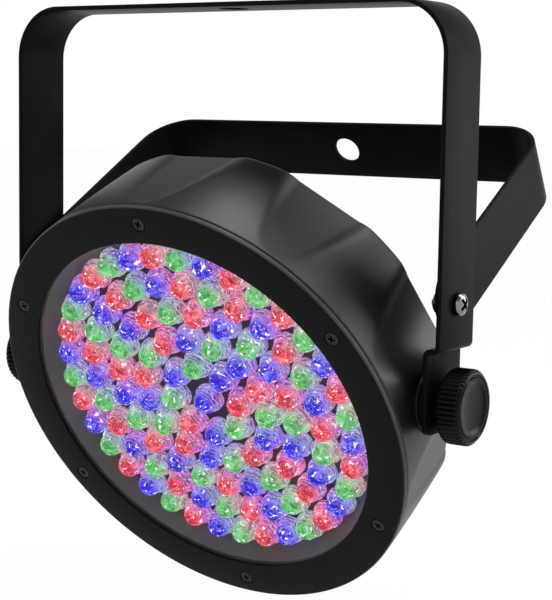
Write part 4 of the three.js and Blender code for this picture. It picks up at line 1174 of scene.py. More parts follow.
class FrontBezel(bpy.types.Operator):
    """Builds the front ring and its countersunk cross screws."""

    bl_idname = "par_light.front_bezel"
    bl_label = "Front bezel"

    step, inner_edge, outer_edge, back_edge = 0.9 * MM, 0.4 * MM, 0.8 * MM, 0.25 * MM
    head_hole, shank_hole, sink = 3.3 * MM, 1.8 * MM, 1.8 * MM
    mouth, mouth_depth = 0.4 * MM, 0.35 * MM

    def execute(self, context):
        head, face = settings("head"), settings("face")
        thick, rabbet = head.bezel_thickness, face.pane_radius + head.seat_gap
        inner, outer = face.window_radius, head.face_radius
        outline = eased([
            (inner, self.step), (inner, 0, self.inner_edge), (outer, 0, self.outer_edge),
            (outer, thick, self.back_edge), (rabbet, thick), (rabbet, self.step)], 5)
        bezel = raw_object("front_bezel", turned(outline, 288))
        turns = even(head.screw_count, 90)
        cutters = [shifted(self.hole(thick), *on_circle(head.screw_circle, t)) for t in turns]
        carved(bezel, joined(*cutters))
        on_head(bezel, "black_bezel", ["front_bezel"])
        screws = repeated("bezel_screws", self.screw(), ring_places(head.screw_circle, turns, 0),
                          spins(head.screw_count, 0.4, 0.9), "black_steel")
        finished(screws, "black_steel", "lamp_head",
                 [f"bezel_screw_{i + 1}" for i in range(head.screw_count)])
        return {"FINISHED"}

    def hole(self, thick):
        """A countersunk hole's cutter through the ring, its mouth eased."""
        wide = self.head_hole + self.mouth
        return turned([(0, -OVERRUN), (wide, -OVERRUN), (wide, 0), (self.head_hole, self.mouth_depth),
                       (self.shank_hole, self.sink), (self.shank_hole, thick + OVERRUN),
                       (0, thick + OVERRUN)], 48)

    @staticmethod
    def screw():
        """A countersunk screw whose head lies just under the ring's face."""
        top, head, shank, length = 0.05 * MM, 3 * MM, 1.5 * MM, 6 * MM
        profile = [(0, top), (2.6 * MM, top), (head, 0.3 * MM), (shank, 1.6 * MM),
                   (shank, 5.4 * MM), (0.8 * MM, length), (0, length)]
        recess = dict(reach=1.75 * MM, width=0.42 * MM, depth=1.1 * MM, top=top)
        return screw_pattern("bezel_screw", profile, recess)


class Window(bpy.types.Operator):
    """Builds the clear pane and the grey spacer ring behind it."""

    bl_idname = "par_light.window"
    bl_label = "Window"

    def execute(self, context):
        head, face = settings("head"), settings("face")
        edge, rim, bend = 0.2 * MM, 0.3 * MM, 0.5 * MM
        head_piece("clear_window", turned([
            (0, face.pane_front), (face.pane_radius - edge, face.pane_front),
            (face.pane_radius, face.pane_front + edge), (face.pane_radius, face.pane_back - edge),
            (face.pane_radius - edge, face.pane_back), (0, face.pane_back)], 256),
            "clear_window", ["clear_window"])
        top, foot = face.pane_back + head.seat_gap, face.board_depth - head.seat_gap
        wall = face.spacer_wall
        head_piece("window_spacer", turned(eased([
            (face.window_radius, top, rim), (face.pane_radius, top, rim),
            (face.pane_radius, top + wall), (face.window_radius + wall, top + wall, bend),
            (face.spacer_foot + wall, foot), (face.spacer_foot, foot)], 3), 256),
            "grey_board", ["window_spacer"])
        return {"FINISHED"}


def head_points(thing):
    """A finished mesh's points as across, depth and up on the head."""
    to_head = np.array(head_matrix().inverted(), float)
    return np.array([v.co for v in thing.data.vertices]) @ to_head[:3, :3].T + to_head[:3, 3]


def add_glow(thing, places, tones):
    """Stores on each point of a finished mesh the light that the LEDs throw on it."""
    reach, lamp_depth = 8 * MM, 6.5 * MM
    lamps = np.insert(places, 1, lamp_depth, axis=1)
    apart = np.linalg.norm(head_points(thing)[:, None, :] - lamps[None, :, :], axis=2)
    stored_colours(thing.data, "glow", np.exp(-(apart / reach) ** 2) @ tones)


class LedField(bpy.types.Operator):
    """Builds the LED board and its rings of lit LEDs."""

    bl_idname = "par_light.led_field"
    bl_label = "LED field"

    rings = (
        # the first LED's turn in degrees, and the colours in order round the ring
        (2.0, "RBGBGRBG"),
        (18.0, "RBGBRGRBGRBGRBG"),
        (11.0, "RBGBRGRBGRBGRBGRBGRBG"),
        (7.0, "BGRBRGRBGRBGRBGRBGRBGRBGRBGR"),
        (114.7, "GRB" * 9 + "GR" + "GRBGRB"),
    )
    board_edge, screw_hole = 0.2 * MM, 1.8 * MM

    def execute(self, context):
        face, colours = settings("face"), settings("colours")
        places, letters = [(0.0, 0.0)], ["B"]
        for ring, (first, order) in enumerate(self.rings):
            radius = face.first_ring + face.ring_pitch * ring
            places += [on_circle(radius, turn) for turn in even(len(order), first)]
            letters += list(order)
        shades = {"R": colours.red, "G": colours.green, "B": colours.blue}
        tones = np.array([list(shades[letter]) for letter in letters])
        flat_places = np.array(places)
        board = self.board()
        add_glow(board, flat_places, tones)
        finished(board, "grey_board", "lamp_head", ["led_board"])
        for name in ("front_bezel", "window_spacer"):
            add_glow(bpy.data.objects[name], flat_places, tones)
        rng = np.random.default_rng(LAMP_SEED)
        lamps = repeated(
            "led_lamps", self.lamp(), [(x, face.board_depth, z) for x, z in places],
            [0.0] * len(places), "lit_leds",
            {"lamp_colour": tones}, {"lamp_seed": rng.random(len(places))})
        self.tint(lamps, flat_places, tones)
        finished(lamps, "lit_leds", "lamp_head", ["led_board"], sharp=60)
        return {"FINISHED"}

    def board(self):
        """The board with its rim eased and the holes for its screws."""
        face, edge = settings("face"), self.board_edge
        front, back = face.board_depth, face.board_depth + face.board_thickness
        rows = [(r, front) for r in np.linspace(0, face.board_radius - edge, 46)]
        rows += [(face.board_radius, front + edge), (face.board_radius, back - edge),
                 (face.board_radius - edge, back), (0, back)]
        made = raw_object("led_board", turned(rows, 224))
        holes = [rod(self.screw_hole, front - OVERRUN, back + OVERRUN,
                     *on_circle(face.post_circle, math.radians(turn))) for turn in POST_TURNS]
        carved(made, joined(*holes))
        made.data.transform(head_matrix())
        return made

    @staticmethod
    def lamp():
        """One LED: a flange, a body that narrows and a domed tip, pointing away from the board."""
        face = settings("face")
        r, foot, tall = face.led_radius, face.led_foot, face.board_depth - face.led_tip
        straight = tall - r
        flange_side, flange_top, body_foot = 2.4 * MM, 2.9 * MM, 3.2 * MM
        profile = [(0, FUSED), (foot, FUSED), (foot, -flange_side), (foot - 0.3 * MM, -flange_top),
                   (r + 0.5 * MM, -body_foot), (r + 0.35 * MM, -0.8 * straight),
                   (r + 0.05 * MM, -0.97 * straight)]
        dome = [(r * math.cos(t), -straight - r * math.sin(t))
                for t in np.linspace(0.12, math.pi / 2, 9)[:-1]]
        made = raw_object("led_pattern", turned(profile + dome + [(0, -tall)], 28))
        local = np.array([v.co for v in made.data.vertices])
        # Across, up and out from the board, with the dome's radius as the unit
        place = np.stack([local[:, 0], local[:, 2], -local[:, 1]], 1) / r
        stored(made.data, "lamp_place", place, "FLOAT_VECTOR", "vector")
        return made

    @staticmethod
    def tint(lamps, places, tones):
        """Stores on each point the colour that its neighbours throw on it."""
        reach = 6.5 * MM
        flat = head_points(lamps)[:, [0, 2]]
        apart = np.linalg.norm(flat[:, None, :] - places[None, :, :], axis=2)
        # The LED that a point belongs to is set far off, so that it doesn't count
        apart[np.arange(len(flat)), apart.argmin(1)] = 1.0
        weight = np.exp(-(apart / reach) ** 2) + 1e-12
        stored_colours(lamps.data, "lamp_tint", (weight @ tones) / weight.sum(1, keepdims=True))


class Brackets(bpy.types.Operator):
    """Builds the hanging bracket and the floor bracket from bent strip."""

    bl_idname = "par_light.brackets"
    bl_label = "Brackets"

    flare, stud_hole, clearance = 0.35 * MM, 4.4 * MM, 0.4 * MM
    upwards = Matrix.Rotation(math.pi / 2, 4, "X")

    def execute(self, context):
        self.hanging()
        self.floor()
        return {"FINISHED"}

    def hanging(self):
        """The bracket with the clamp hole at its top and the knobs' plates at its lower ends."""
        b, head = settings("brackets"), settings("head")
        thick = b.strip_thickness
        half = thick / 2
        arm, plate_x = b.yoke_half - half, b.yoke_half - b.step_inset - half
        step, low = b.step_rise + half - head.drop, -head.drop - b.plate_drop
        side = [(plate_x, low, 0), (plate_x, step, b.step_bend), (arm, step, b.step_bend),
                (arm, -half, b.yoke_bend)]
        path = side + [(-x, z, bend) for x, z, bend in reversed(side)]
        made = raw_object("hanging_bracket", bent_strip(
            path, thick, b.strip_width, b.edge, b.plate_corner))
        plate_in = b.yoke_half - b.step_inset - thick
        cutters = [self.hole(b.clamp_hole, -thick, 0, self.upwards)]
        for _, sign in SIDES:
            cutters.append(self.hole(self.stud_hole, plate_in, plate_in + thick, side_matrix(sign)))
            cutters.append(self.hole(b.pivot_screw + self.clearance, b.yoke_half - thick,
                                     b.yoke_half, side_matrix(sign, b.pivot_rise)))
        carved(made, joined(*cutters))
        finished(made, "black_paint", "hanging_frame", ["hanging_bracket"])

    def floor(self):
        """The bracket that folds out as a stand, made upright and then leaned back."""
        b, head = settings("brackets"), settings("head")
        thick = b.strip_thickness
        arm, bar = b.floor_half - thick / 2, b.floor_length - thick / 2
        path = [(arm, -b.floor_end, 0), (arm, bar, b.floor_bend),
                (-arm, bar, b.floor_bend), (-arm, -b.floor_end, 0)]
        made = raw_object("floor_bracket", bent_strip(
            path, thick, b.strip_width, b.edge, b.strip_width / 2))
        cutters = [self.hole(b.clamp_hole, b.floor_length - thick, b.floor_length, self.upwards)]
        for _, sign in SIDES:
            cutters.append(self.hole(b.pivot_screw + self.clearance, b.floor_half - thick,
                                     b.floor_half, Matrix.Rotation(-sign * math.pi / 2, 4, "Z")))
        carved(made, joined(*cutters))
        made.data.transform(Matrix.Translation((0, 0, b.pivot_rise - head.drop))
                            @ Matrix.Rotation(-b.floor_lean, 4, "X"))
        finished(made, "black_paint", "floor_bracket", ["floor_bracket"])

    def hole(self, radius, start, end, matrix):
        """A hole's cutter along the depth axis, flared where it leaves the strip."""
        wide, flare = radius + self.flare, self.flare
        profile = [(0, start - OVERRUN), (wide, start - OVERRUN), (wide, start),
                   (radius, start + flare), (radius, end - flare), (wide, end),
                   (wide, end + OVERRUN), (0, end + OVERRUN)]
        return moved_by(turned(profile, 96), matrix)


class Pivots(bpy.types.Operator):
    """Builds the chrome pivot screws, their nuts and washers, and the friction washers."""

    bl_idname = "par_light.pivots"
    bl_label = "Pivots"

    thread_past_nut = 1.5 * MM
    nut_clearance, washer_clearance = 0.15 * MM, 0.3 * MM
    washer_radius, washer_thickness, stud_hole = 7 * MM, 0.8 * MM, 4.4 * MM

    def execute(self, context):
        b, head, knobs = settings("brackets"), settings("head"), settings("knobs")
        nut_face = b.floor_half - b.strip_thickness - head.seat_gap
        for name, sign in SIDES:
            matrix = side_matrix(sign, b.pivot_rise)
            self.screw("pivot_screw_" + name, nut_face, matrix, 28 + 20 * sign)
            self.nut("pivot_nut_" + name, nut_face, matrix)
            start = b.floor_half + head.seat_gap
            washer = raw_object("pivot_washer_" + name, self.ring(
                b.pivot_screw + self.washer_clearance, self.washer_radius,
                start, start + self.washer_thickness), matrix)
            finished(washer, "nylon", "hanging_frame", ["pivot_washer_" + name])
            start = head.face_radius + knobs.boss_proud + head.seat_gap
            end = b.yoke_half - b.step_inset - b.strip_thickness - head.seat_gap
            pad = raw_object("friction_washer_" + name, self.ring(
                self.stud_hole, knobs.washer_radius, start, end), side_matrix(sign))
            finished(pad, "rubber", "lamp_head", ["friction_washer_" + name])
        return {"FINISHED"}

    def screw(self, name, nut_face, matrix, degrees):
        """A pivot screw from outside the hanging bracket to just past its nut."""
        b = settings("brackets")
        seat = b.yoke_half + settings("head").seat_gap
        length = seat - (nut_face - b.nut_height - self.thread_past_nut)
        profile = pan_profile(b.pivot_head, b.pivot_head_height, b.pivot_screw, length)
        recess = dict(reach=3.4 * MM, width=0.85 * MM, depth=2.3 * MM, top=-b.pivot_head_height)
        made = screw_pattern(name, profile, recess, 64)
        spin = Matrix.Rotation(math.radians(degrees), 4, "Y")
        made.data.transform(matrix @ (Matrix.Translation((0, seat, 0)) @ FLIP @ spin))
        finished(made, "chrome", "hanging_frame", [name])

    def nut(self, name, nut_face, matrix):
        """A six-sided nut with chamfered ends."""
        b = settings("brackets")
        r, start = b.nut_radius, nut_face - b.nut_height
        chamfer = turned([(0, start), (r * 0.84, start), (r * 1.02, start + 0.6 * MM),
                          (r * 1.02, nut_face - 0.5 * MM), (r * 0.86, nut_face), (0, nut_face)], 48)
        made = raw_object(name, rod(r, start - OVERRUN, nut_face + OVERRUN, segments=6))
        carved(made, chamfer, "INTERSECT")
        carved(made, rod(b.pivot_screw + self.nut_clearance, start - OVERRUN,
                         nut_face + OVERRUN, segments=40))
        made.data.transform(matrix)
        finished(made, "chrome", "hanging_frame", [name], sharp=25)

    @staticmethod
    def ring(inner, outer, start, end):
        """A flat ring with eased edges along the depth axis."""
        edge = 0.2 * MM
        return turned(eased([(inner, start, edge), (outer, start, edge), (outer, end, edge),
                             (inner, end, edge)], 3), 72)


class HandKnobs(bpy.types.Operator):
    """Builds the two fluted hand knobs."""

    bl_idname = "par_light.hand_knobs"
    bl_label = "Hand knobs"

    stud_hole, stud_depth = 4.3 * MM, 8 * MM
    groove_half = 0.55 * MM
    # Where the straight stretch of the rim begins, and how much of the rim its edges take
    rim_start, rim_edges = 1.3 * MM, 1.6 * MM

    def execute(self, context):
        k = settings("knobs")
        rows = self.section()
        columns = k.flutes * 8
        # The first and the last row are one point each, on the axis
        counts = [1] + [columns] * (len(rows) - 2) + [1]
        for name, sign in SIDES:
            knob = raw_object("knob_" + name, turned([row[:2] for row in rows], columns))
            stored(knob.data, "flute_share", np.repeat([row[2] for row in rows], counts))
            grown(knob, tree("flutes"), {"Flutes": k.flutes, "Depth": k.flute_depth},
                  "black_knob")
            knob.data.transform(side_matrix(sign))
            finished(knob, "black_knob", "hand_knob_" + name,
                     ["knob_" + name], sharp=50)
        return {"FINISHED"}

    def section(self):
        """A knob's outline as [radius, depth, how much of a flute's depth it takes]."""
        k, b, head = settings("knobs"), settings("brackets"), settings("head")
        back = b.yoke_half - b.step_inset + head.seat_gap
        rim = back + k.hub_length
        shoulder = rim + k.rim_width
        face = shoulder + k.shoulder
        hub = [(0, back + self.stud_depth, 0), (self.stud_hole, back + self.stud_depth, 0),
               (self.stud_hole, back, 0), (k.hub_radius - 0.3 * MM, back, 0),
               (k.hub_radius, back + 0.3 * MM, 0), (k.hub_radius, rim - 0.4 * MM, 0),
               (k.hub_radius + 0.4 * MM, rim, 0)]
        straight = rim + self.rim_start
        fluted = [(k.radius - k.flute_depth - 0.9 * MM, rim, 0),
                  (k.radius - 0.5 * MM, rim + 0.25 * MM, 0.45),
                  (k.radius - 0.1 * MM, rim + 0.7 * MM, 0.9), (k.radius, straight, 1)]
        fluted += [(k.radius, straight + (k.rim_width - self.rim_edges) * s, 1) for s in (0.35, 0.7, 1)]
        fluted += [(k.radius - 0.15 * MM, shoulder + 0.05 * MM, 0.8),
                   (k.radius - 0.6 * MM, shoulder + k.shoulder * 0.35, 0.35)]
        middle, half, floor = k.groove_radius, self.groove_half, face - k.groove_depth
        front = [(k.face_radius + 0.35 * MM, face - 0.3 * MM, 0.05), (k.face_radius, face, 0),
                 (middle + half, face, 0), (middle + half * 0.45, floor, 0),
                 (middle - half * 0.45, floor, 0), (middle - half, face, 0)]
        dish = [(k.dish_radius + 0.25 * MM, face, 0), (k.dish_radius - 0.2 * MM, face - 0.12 * MM, 0)]
        dish += [(k.dish_radius * s, face - k.dish_depth * (1 - s * s) ** 0.5 * 0.9 - 0.1 * MM, 0)
                 for s in (0.93, 0.82, 0.66, 0.45, 0.22)]
        return hub + fluted + front + dish + [(0, face - k.dish_depth, 0)]


class RearCover(bpy.types.Operator):
    """Builds the rear cover with its openings, vents and screws."""

    bl_idname = "par_light.rear_cover"
    bl_label = "Rear cover"

    front_edge, back_edge, opening_corner = 0.2 * MM, 0.6 * MM, 0.6 * MM
    display_opening, inlet_opening = (40.8 * MM, 15.8 * MM), (27.8 * MM, 30.8 * MM)
    outlet_opening = (27.8 * MM, 20.8 * MM)
    socket_opening, button_gap, screw_hole = 12.2 * MM, 0.4 * MM, 1.8 * MM
    latch_opening, latch_corner, latch_overrun = (8.8 * MM, 4.8 * MM), 0.9 * MM, 0.3 * MM
    vent_places, vent_z = (45 * MM, 51 * MM, 57 * MM, 63 * MM), 14 * MM
    vent_size, vent_corner = (3 * MM, 20 * MM), 1.4 * MM

    def execute(self, context):
        p = settings("panel")
        near, far = p.cover_front, p.cover_back
        outline = eased([(0, near), (p.cover_radius, near, self.front_edge),
                         (p.cover_radius, far, self.back_edge), (0, far)], 4, closed=False)
        cover = raw_object("rear_cover", turned(outline, 224))
        start, end = near - OVERRUN, far + OVERRUN
        carved(cover, joined(*self.openings(start, end)))
        carved(cover, plate(*self.latch_opening, self.latch_corner, start - self.latch_overrun,
                            end + self.latch_overrun, p.socket_x, p.socket_z + LATCH_RISE))
        on_head(cover, "black_cover", ["rear_cover"])
        self.screws()
        return {"FINISHED"}

    def openings(self, start, end):
        """Cutters for all that passes through the cover, apart from the latch."""
        p = settings("panel")
        corner = self.opening_corner
        cutters = [
            plate(*self.display_opening, corner, start, end, 0, p.display_z),
            *[rod(self.socket_opening, start, end, sign * p.socket_x, p.socket_z, 96)
              for _, sign in SIDES],
            plate(*self.outlet_opening, corner, start, end, p.power_x, p.power_z),
            plate(*self.inlet_opening, corner, start, end, -p.power_x, p.power_z - INLET_DROP),
        ]
        for button_x, vent_x in zip(button_places(), self.vent_places):
            cutters.append(rod(p.button_radius + self.button_gap, start, end, button_x, p.button_z, 40))
            cutters += [plate(*self.vent_size, self.vent_corner, start, end, sign * vent_x, self.vent_z)
                        for _, sign in SIDES]
        cutters += [rod(self.screw_hole, start, end, *on_circle(p.screw_circle, turn), 32)
                    for turn in even(p.screw_count)]
        return cutters

    @staticmethod
    def screws():
        """The pan-head screws round the cover."""
        p = settings("panel")
        head, height, shank, length = 2.8 * MM, 2 * MM, 1.5 * MM, 7 * MM
        recess = dict(reach=1.7 * MM, width=0.42 * MM, depth=1.2 * MM, top=-height)
        seat = p.cover_back + settings("head").seat_gap
        places = ring_places(p.screw_circle, even(p.screw_count), seat)
        made = rear_screws("cover_screws", places, spins(p.screw_count, 0.3, 1.1), "black_steel",
                           pan_profile(head, height, shank, length), recess)
        finished(made, "black_steel", "lamp_head",
                 [f"cover_screw_{i + 1}" for i in range(p.screw_count)])


def button_places():
    """How far across each of the menu buttons sits."""
    pitch = settings("panel").button_pitch
    return [pitch * (i - (BUTTONS - 1) / 2) for i in range(BUTTONS)]


class Menu(bpy.types.Operator):
    """Builds the display and the menu buttons."""

    bl_idname = "par_light.menu"
    bl_label = "Menu"

    display_size, display_corner, display_edge = (40 * MM, 15 * MM), 0.8 * MM, 0.3 * MM
    display_front, display_proud = 48.9 * MM, 0.8 * MM
    button_proud, flange = 2.2 * MM, 1 * MM

    def execute(self, context):
        p = settings("panel")
        head_piece("display", plate(
            *self.display_size, self.display_corner, self.display_front,
            p.cover_back + self.display_proud, 0, p.display_z, self.display_edge),
            "display_red", ["display"])
        shape = self.button()
        for i, x in enumerate(button_places()):
            button = raw_object(f"menu_button_{i + 1}", shifted(shape, x, p.button_z), head_matrix())
            finished(button, "black_knob", f"button_{i + 1}",
                     [f"menu_button_{i + 1}"])
        return {"FINISHED"}

    def button(self):
        """A button with a hidden flange, an eased rim and a slight dip in its face."""
        p, head = settings("panel"), settings("head")
        r, wide = p.button_radius, p.button_radius + self.flange
        back, top = p.cover_front - head.seat_gap, p.cover_back + self.button_proud
        return turned([(0, back - self.flange), (wide, back - self.flange), (wide, back), (r, back),
                       (r, top - 0.7 * MM), (r - 0.2 * MM, top - 0.3 * MM),
                       (r - 0.6 * MM, top - 0.08 * MM), (r * 0.55, top), (r * 0.45, top - 0.1 * MM),
                       (0, top - 0.25 * MM)], 48)


class DataSockets(bpy.types.Operator):
    """Builds the two three-pin data sockets and the release latch."""

    bl_idname = "par_light.data_sockets"
    bl_label = "Data sockets"

    flange_size, flange_corner, flange_edge = (26 * MM, 31 * MM), 3 * MM, 0.4 * MM
    body_radius, body_length, bore_depth, mouth = 11.8 * MM, 22 * MM, 12 * MM, 0.8 * MM
    pin_circle, pin_radius, pin_length, pin_edge = 4.1 * MM, 1.2 * MM, 7 * MM, 0.6 * MM
    insert_radius, insert_sunk, insert_edge, pin_hole = 7.6 * MM, 1 * MM, 0.4 * MM, 1.5 * MM
    slot_size, slot_corner, slot_depth = (8.6 * MM, 4.6 * MM), 1 * MM, 7.8 * MM
    latch_size, latch_corner, latch_edge = (8 * MM, 4 * MM), 0.85 * MM, 0.5 * MM
    latch_depth, latch_proud = 6 * MM, 1.7 * MM
    screw_x, screw_z = 9.8 * MM, 12.3 * MM

    def execute(self, context):
        p = settings("panel")
        face, z, latch_z = p.socket_face, p.socket_z, p.socket_z + LATCH_RISE
        floor = face - self.bore_depth
        pins = [on_circle(self.pin_circle, t) for t in even(3, -90)]
        self.socket("data_input", -p.socket_x)
        head_piece("data_input_pins", joined(*[
            rod(self.pin_radius, floor - FUSED, floor + self.pin_length, -p.socket_x + x, z + y,
                24, self.pin_edge) for x, y in pins]), "zinc", ["data_input"])
        self.socket("data_output", p.socket_x, plate(
            *self.slot_size, self.slot_corner, face - self.slot_depth, face + OVERRUN,
            p.socket_x, latch_z))
        insert = raw_object("data_output_insert", rod(
            self.insert_radius, floor - FUSED, face - self.insert_sunk, p.socket_x, z,
            72, self.insert_edge))
        carved(insert, joined(*[
            rod(self.pin_hole, floor + 0.3 * MM, face + OVERRUN, p.socket_x + x, z + y, 28)
            for x, y in pins]))
        on_head(insert, "black_socket", ["data_output"])
        latch = raw_object("data_output_latch", plate(
            *self.latch_size, self.latch_corner, face - self.latch_depth, face + self.latch_proud,
            p.socket_x, latch_z, self.latch_edge), head_matrix())
        finished(latch, "black_steel", "output_latch", ["data_output_latch"])
        self.screws()
        return {"FINISHED"}

    def socket(self, name, x, slot=None):
        """A socket's flange and body with its bore and, where given, the latch's slot."""
        p = settings("panel")
        face, z, seat = p.socket_face, p.socket_z, p.cover_back + settings("head").seat_gap
        made = raw_object(name, plate(
            *self.flange_size, self.flange_corner, seat, face, x, z, self.flange_edge))
        back, floor, top = face - self.body_length, face - self.bore_depth, face + OVERRUN
        body = turned([(0, back), (self.body_radius, back), (self.body_radius, seat + FUSED),
                       (0, seat + FUSED)], 80)
        carved(made, shifted(body, x, z), "UNION")
        r, wide = p.socket_bore, p.socket_bore + self.mouth
        bore = turned([(0, floor), (r, floor), (r, face - 0.6 * MM), (wide, face + 0.2 * MM),
                       (wide, top), (0, top)], 80)
        carved(made, shifted(bore, x, z))
        if slot:
            carved(made, slot)
        on_head(made, "nickel", [name])

    def screws(self):
        """Two small screws in opposite corners of each socket's flange."""
        p = settings("panel")
        head, height, shank, length = 2.3 * MM, 1.3 * MM, 1.2 * MM, 2 * MM
        recess = dict(reach=1.3 * MM, width=0.34 * MM, depth=0.8 * MM, top=-height)
        places = [(x + sign * self.screw_x, p.socket_face, p.socket_z + sign * self.screw_z)
                  for x in (-p.socket_x, p.socket_x) for _, sign in SIDES]
        made = rear_screws("socket_screws", places, (0.5, 1.4, 0.2, 1.0), "zinc",
                           pan_profile(head, height, shank, length), recess, 28)
        finished(made, "zinc", "lamp_head")


def groove_cutter(width, height, corner, groove, start, end, x, z):
    """A groove's cutter that follows a rounded rectangle inside its outline."""
    loops = [[(x + px, depth, z + pz) for px, pz in rounded(width, height, corner, inset, 5)]
             for inset, depth in ((0, start), (0, end), (groove, end), (groove, start))]
    across, total = len(loops[0]), len(loops)
    faces = []
    for row in range(total):
        near, far = row * across, (row + 1) % total * across
        for i in range(across):
            j = (i + 1) % across
            faces.append([near + i, near + j, far + j, far + i])
    return np.array([point for loop in loops for point in loop]), faces


class PowerSockets(bpy.types.Operator):
    """Builds the mains inlet, its fuse drawer and the mains outlet."""

    bl_idname = "par_light.power_sockets"
    bl_label = "Power sockets"

    inlet_flange, outlet_flange = (31 * MM, 34 * MM), (31 * MM, 24 * MM)
    inlet_body, outlet_body = (27 * MM, 30 * MM), (27 * MM, 20 * MM)
    flange_corner, flange_edge, body_corner, body_length = 2 * MM, 0.5 * MM, 0.5 * MM, 24 * MM
    bore_size, bore_corner, bore_depth = (22 * MM, 13 * MM), 2 * MM, 15 * MM
    blade_size, blade_corner, blade_length, blade_edge = (2 * MM, 4 * MM), 0.4 * MM, 10 * MM, 0.6 * MM
    slot_size, slot_corner, slot_depth = (2.3 * MM, 4.3 * MM), 0.3 * MM, 10 * MM
    pin_pitch, drawer_drop = 7 * MM, 15 * MM
    drawer_opening, drawer_opening_depth = (20.6 * MM, 7.6 * MM), 16.3 * MM
    drawer_size, drawer_corner, drawer_depth = (20 * MM, 7 * MM), 0.6 * MM, 16 * MM
    drawer_proud, drawer_edge = 0.8 * MM, 0.3 * MM
    grip_size, grip_drop, grip_proud = (10 * MM, 1.2 * MM), 2.3 * MM, 1.6 * MM
    groove_size, groove_corner, groove_width = (23.4 * MM, 16.4 * MM), 3 * MM, 1.2 * MM
    groove_depth = 1.1 * MM

    def execute(self, context):
        p = settings("panel")
        self.inlet(-p.power_x, p.power_z)
        self.outlet(p.power_x, p.power_z)
        self.drawer(-p.power_x, p.power_z - self.drawer_drop)
        return {"FINISHED"}

    def housing(self, name, flange, body, x, z):
        """A socket's flange with the body behind it, each given by its width and height."""
        p = settings("panel")
        face, seat = p.socket_face, p.cover_back + settings("head").seat_gap
        made = raw_object(name, plate(
            *flange, self.flange_corner, seat, face, x, z, self.flange_edge))
        carved(made, plate(*body, self.body_corner, face - self.body_length, seat + FUSED, x, z),
               "UNION")
        return made

    def inlet(self, x, z):
        """The inlet with its three blades and the opening for the fuse drawer."""
        face = settings("panel").socket_face
        floor, top = face - self.bore_depth, face + OVERRUN
        made = self.housing("power_inlet", self.inlet_flange, self.inlet_body, x, z - INLET_DROP)
        carved(made, plate(*self.bore_size, self.bore_corner, floor, top, x, z))
        carved(made, plate(*self.drawer_opening, 0.5 * MM, face - self.drawer_opening_depth, top,
                           x, z - self.drawer_drop))
        on_head(made, "black_socket", ["power_inlet"])
        blades = [plate(*self.blade_size, self.blade_corner, floor - FUSED, floor + self.blade_length,
                        x + i * self.pin_pitch, z, self.blade_edge) for i in (-1, 0, 1)]
        head_piece("power_inlet_blades", joined(*blades), "nickel", ["power_inlet"])

    def outlet(self, x, z):
        """The outlet with a groove round its three slots."""
        face = settings("panel").socket_face
        top = face + OVERRUN
        made = self.housing("power_outlet", self.outlet_flange, self.outlet_body, x, z)
        carved(made, groove_cutter(*self.groove_size, self.groove_corner, self.groove_width,
                                   face - self.groove_depth, top, x, z))
        slots = [plate(*self.slot_size, self.slot_corner, face - self.slot_depth, top,
                       x + i * self.pin_pitch, z) for i in (-1, 0, 1)]
        carved(made, joined(*slots))
        on_head(made, "black_socket", ["power_outlet"])

    def drawer(self, x, z):
        """The fuse drawer with a ridge to pull it by."""
        face = settings("panel").socket_face
        edge = self.drawer_edge
        made = raw_object("fuse_drawer", plate(
            *self.drawer_size, self.drawer_corner, face - self.drawer_depth,
            face + self.drawer_proud, x, z, edge))
        carved(made, plate(*self.grip_size, 0.3 * MM, face + 0.2 * MM, face + self.grip_proud,
                           x, z - self.grip_drop, edge), "UNION")
        made.data.transform(head_matrix())
        finished(made, "black_socket", "fuse_drawer", ["fuse_drawer"])


class SafetyLoop(bpy.types.Operator):
    """Builds the bent steel loop for a safety cable."""

    bl_idname = "par_light.safety_loop"
    bl_label = "Safety loop"

    half_width, bend, height, wire_radius = 11 * MM, 6 * MM, 13 * MM, 2.2 * MM
    foot_radius, foot_height, foot_edge = 3.4 * MM, 2 * MM, 0.5 * MM

    def execute(self, context):
        p, head = settings("panel"), settings("head")
        seat, half, bend, thick = p.cover_back + head.seat_gap, self.half_width, self.bend, self.wire_radius
        top = seat + self.height
        centres = [(-half, seat + FUSED), (-half, top - bend)]
        centres += [(-half + bend - bend * math.cos(t), top - bend + bend * math.sin(t))
                    for t in np.linspace(0, math.pi / 2, 13)[1:]]
        centres += [(-x, y) for x, y in reversed(centres)]
        centres = [Vector(c) for c in centres]
        loops = []
        for i, centre in enumerate(centres):
            way = (centres[min(i + 1, len(centres) - 1)] - centres[max(i - 1, 0)]).normalized()
            side = Vector((-way.y, way.x))
            loops.append([(centre.x + side.x * thick * math.cos(t), centre.y + side.y * thick * math.cos(t),
                           p.loop_z + thick * math.sin(t)) for t in even(28)])
        foot = turned(eased([
            (0, seat), (self.foot_radius, seat), (self.foot_radius, seat + self.foot_height, self.foot_edge),
            (0, seat + self.foot_height)], 3, closed=False), 48)
        feet = [shifted(foot, sign * half, p.loop_z) for _, sign in SIDES]
        head_piece("safety_loop", joined(lofted(loops), *feet), "zinc", ["safety_loop"])
        return {"FINISHED"}


class InnerParts(bpy.types.Operator):
    """Gives the frame's own hidden parts their finishes."""

    bl_idname = "par_light.inner_parts"
    bl_label = "Inner parts"

    looks = {
        "board_screw": "zinc", "knob_stud": "zinc", "threaded_insert": "brass",
        "power_board": "green_board", "control_board": "green_board", "ribbon_cable": "rubber",
    }

    def execute(self, context):
        for name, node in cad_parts.items():
            if node.hide_render:
                continue
            kinds = [look for start, look in self.looks.items() if name.startswith(start)]
            if not kinds:
                raise RuntimeError(f"no finish is chosen for {name}")
            node.data.materials.clear()
            node.data.materials.append(finish(kinds[0]))
        return {"FINISHED"}


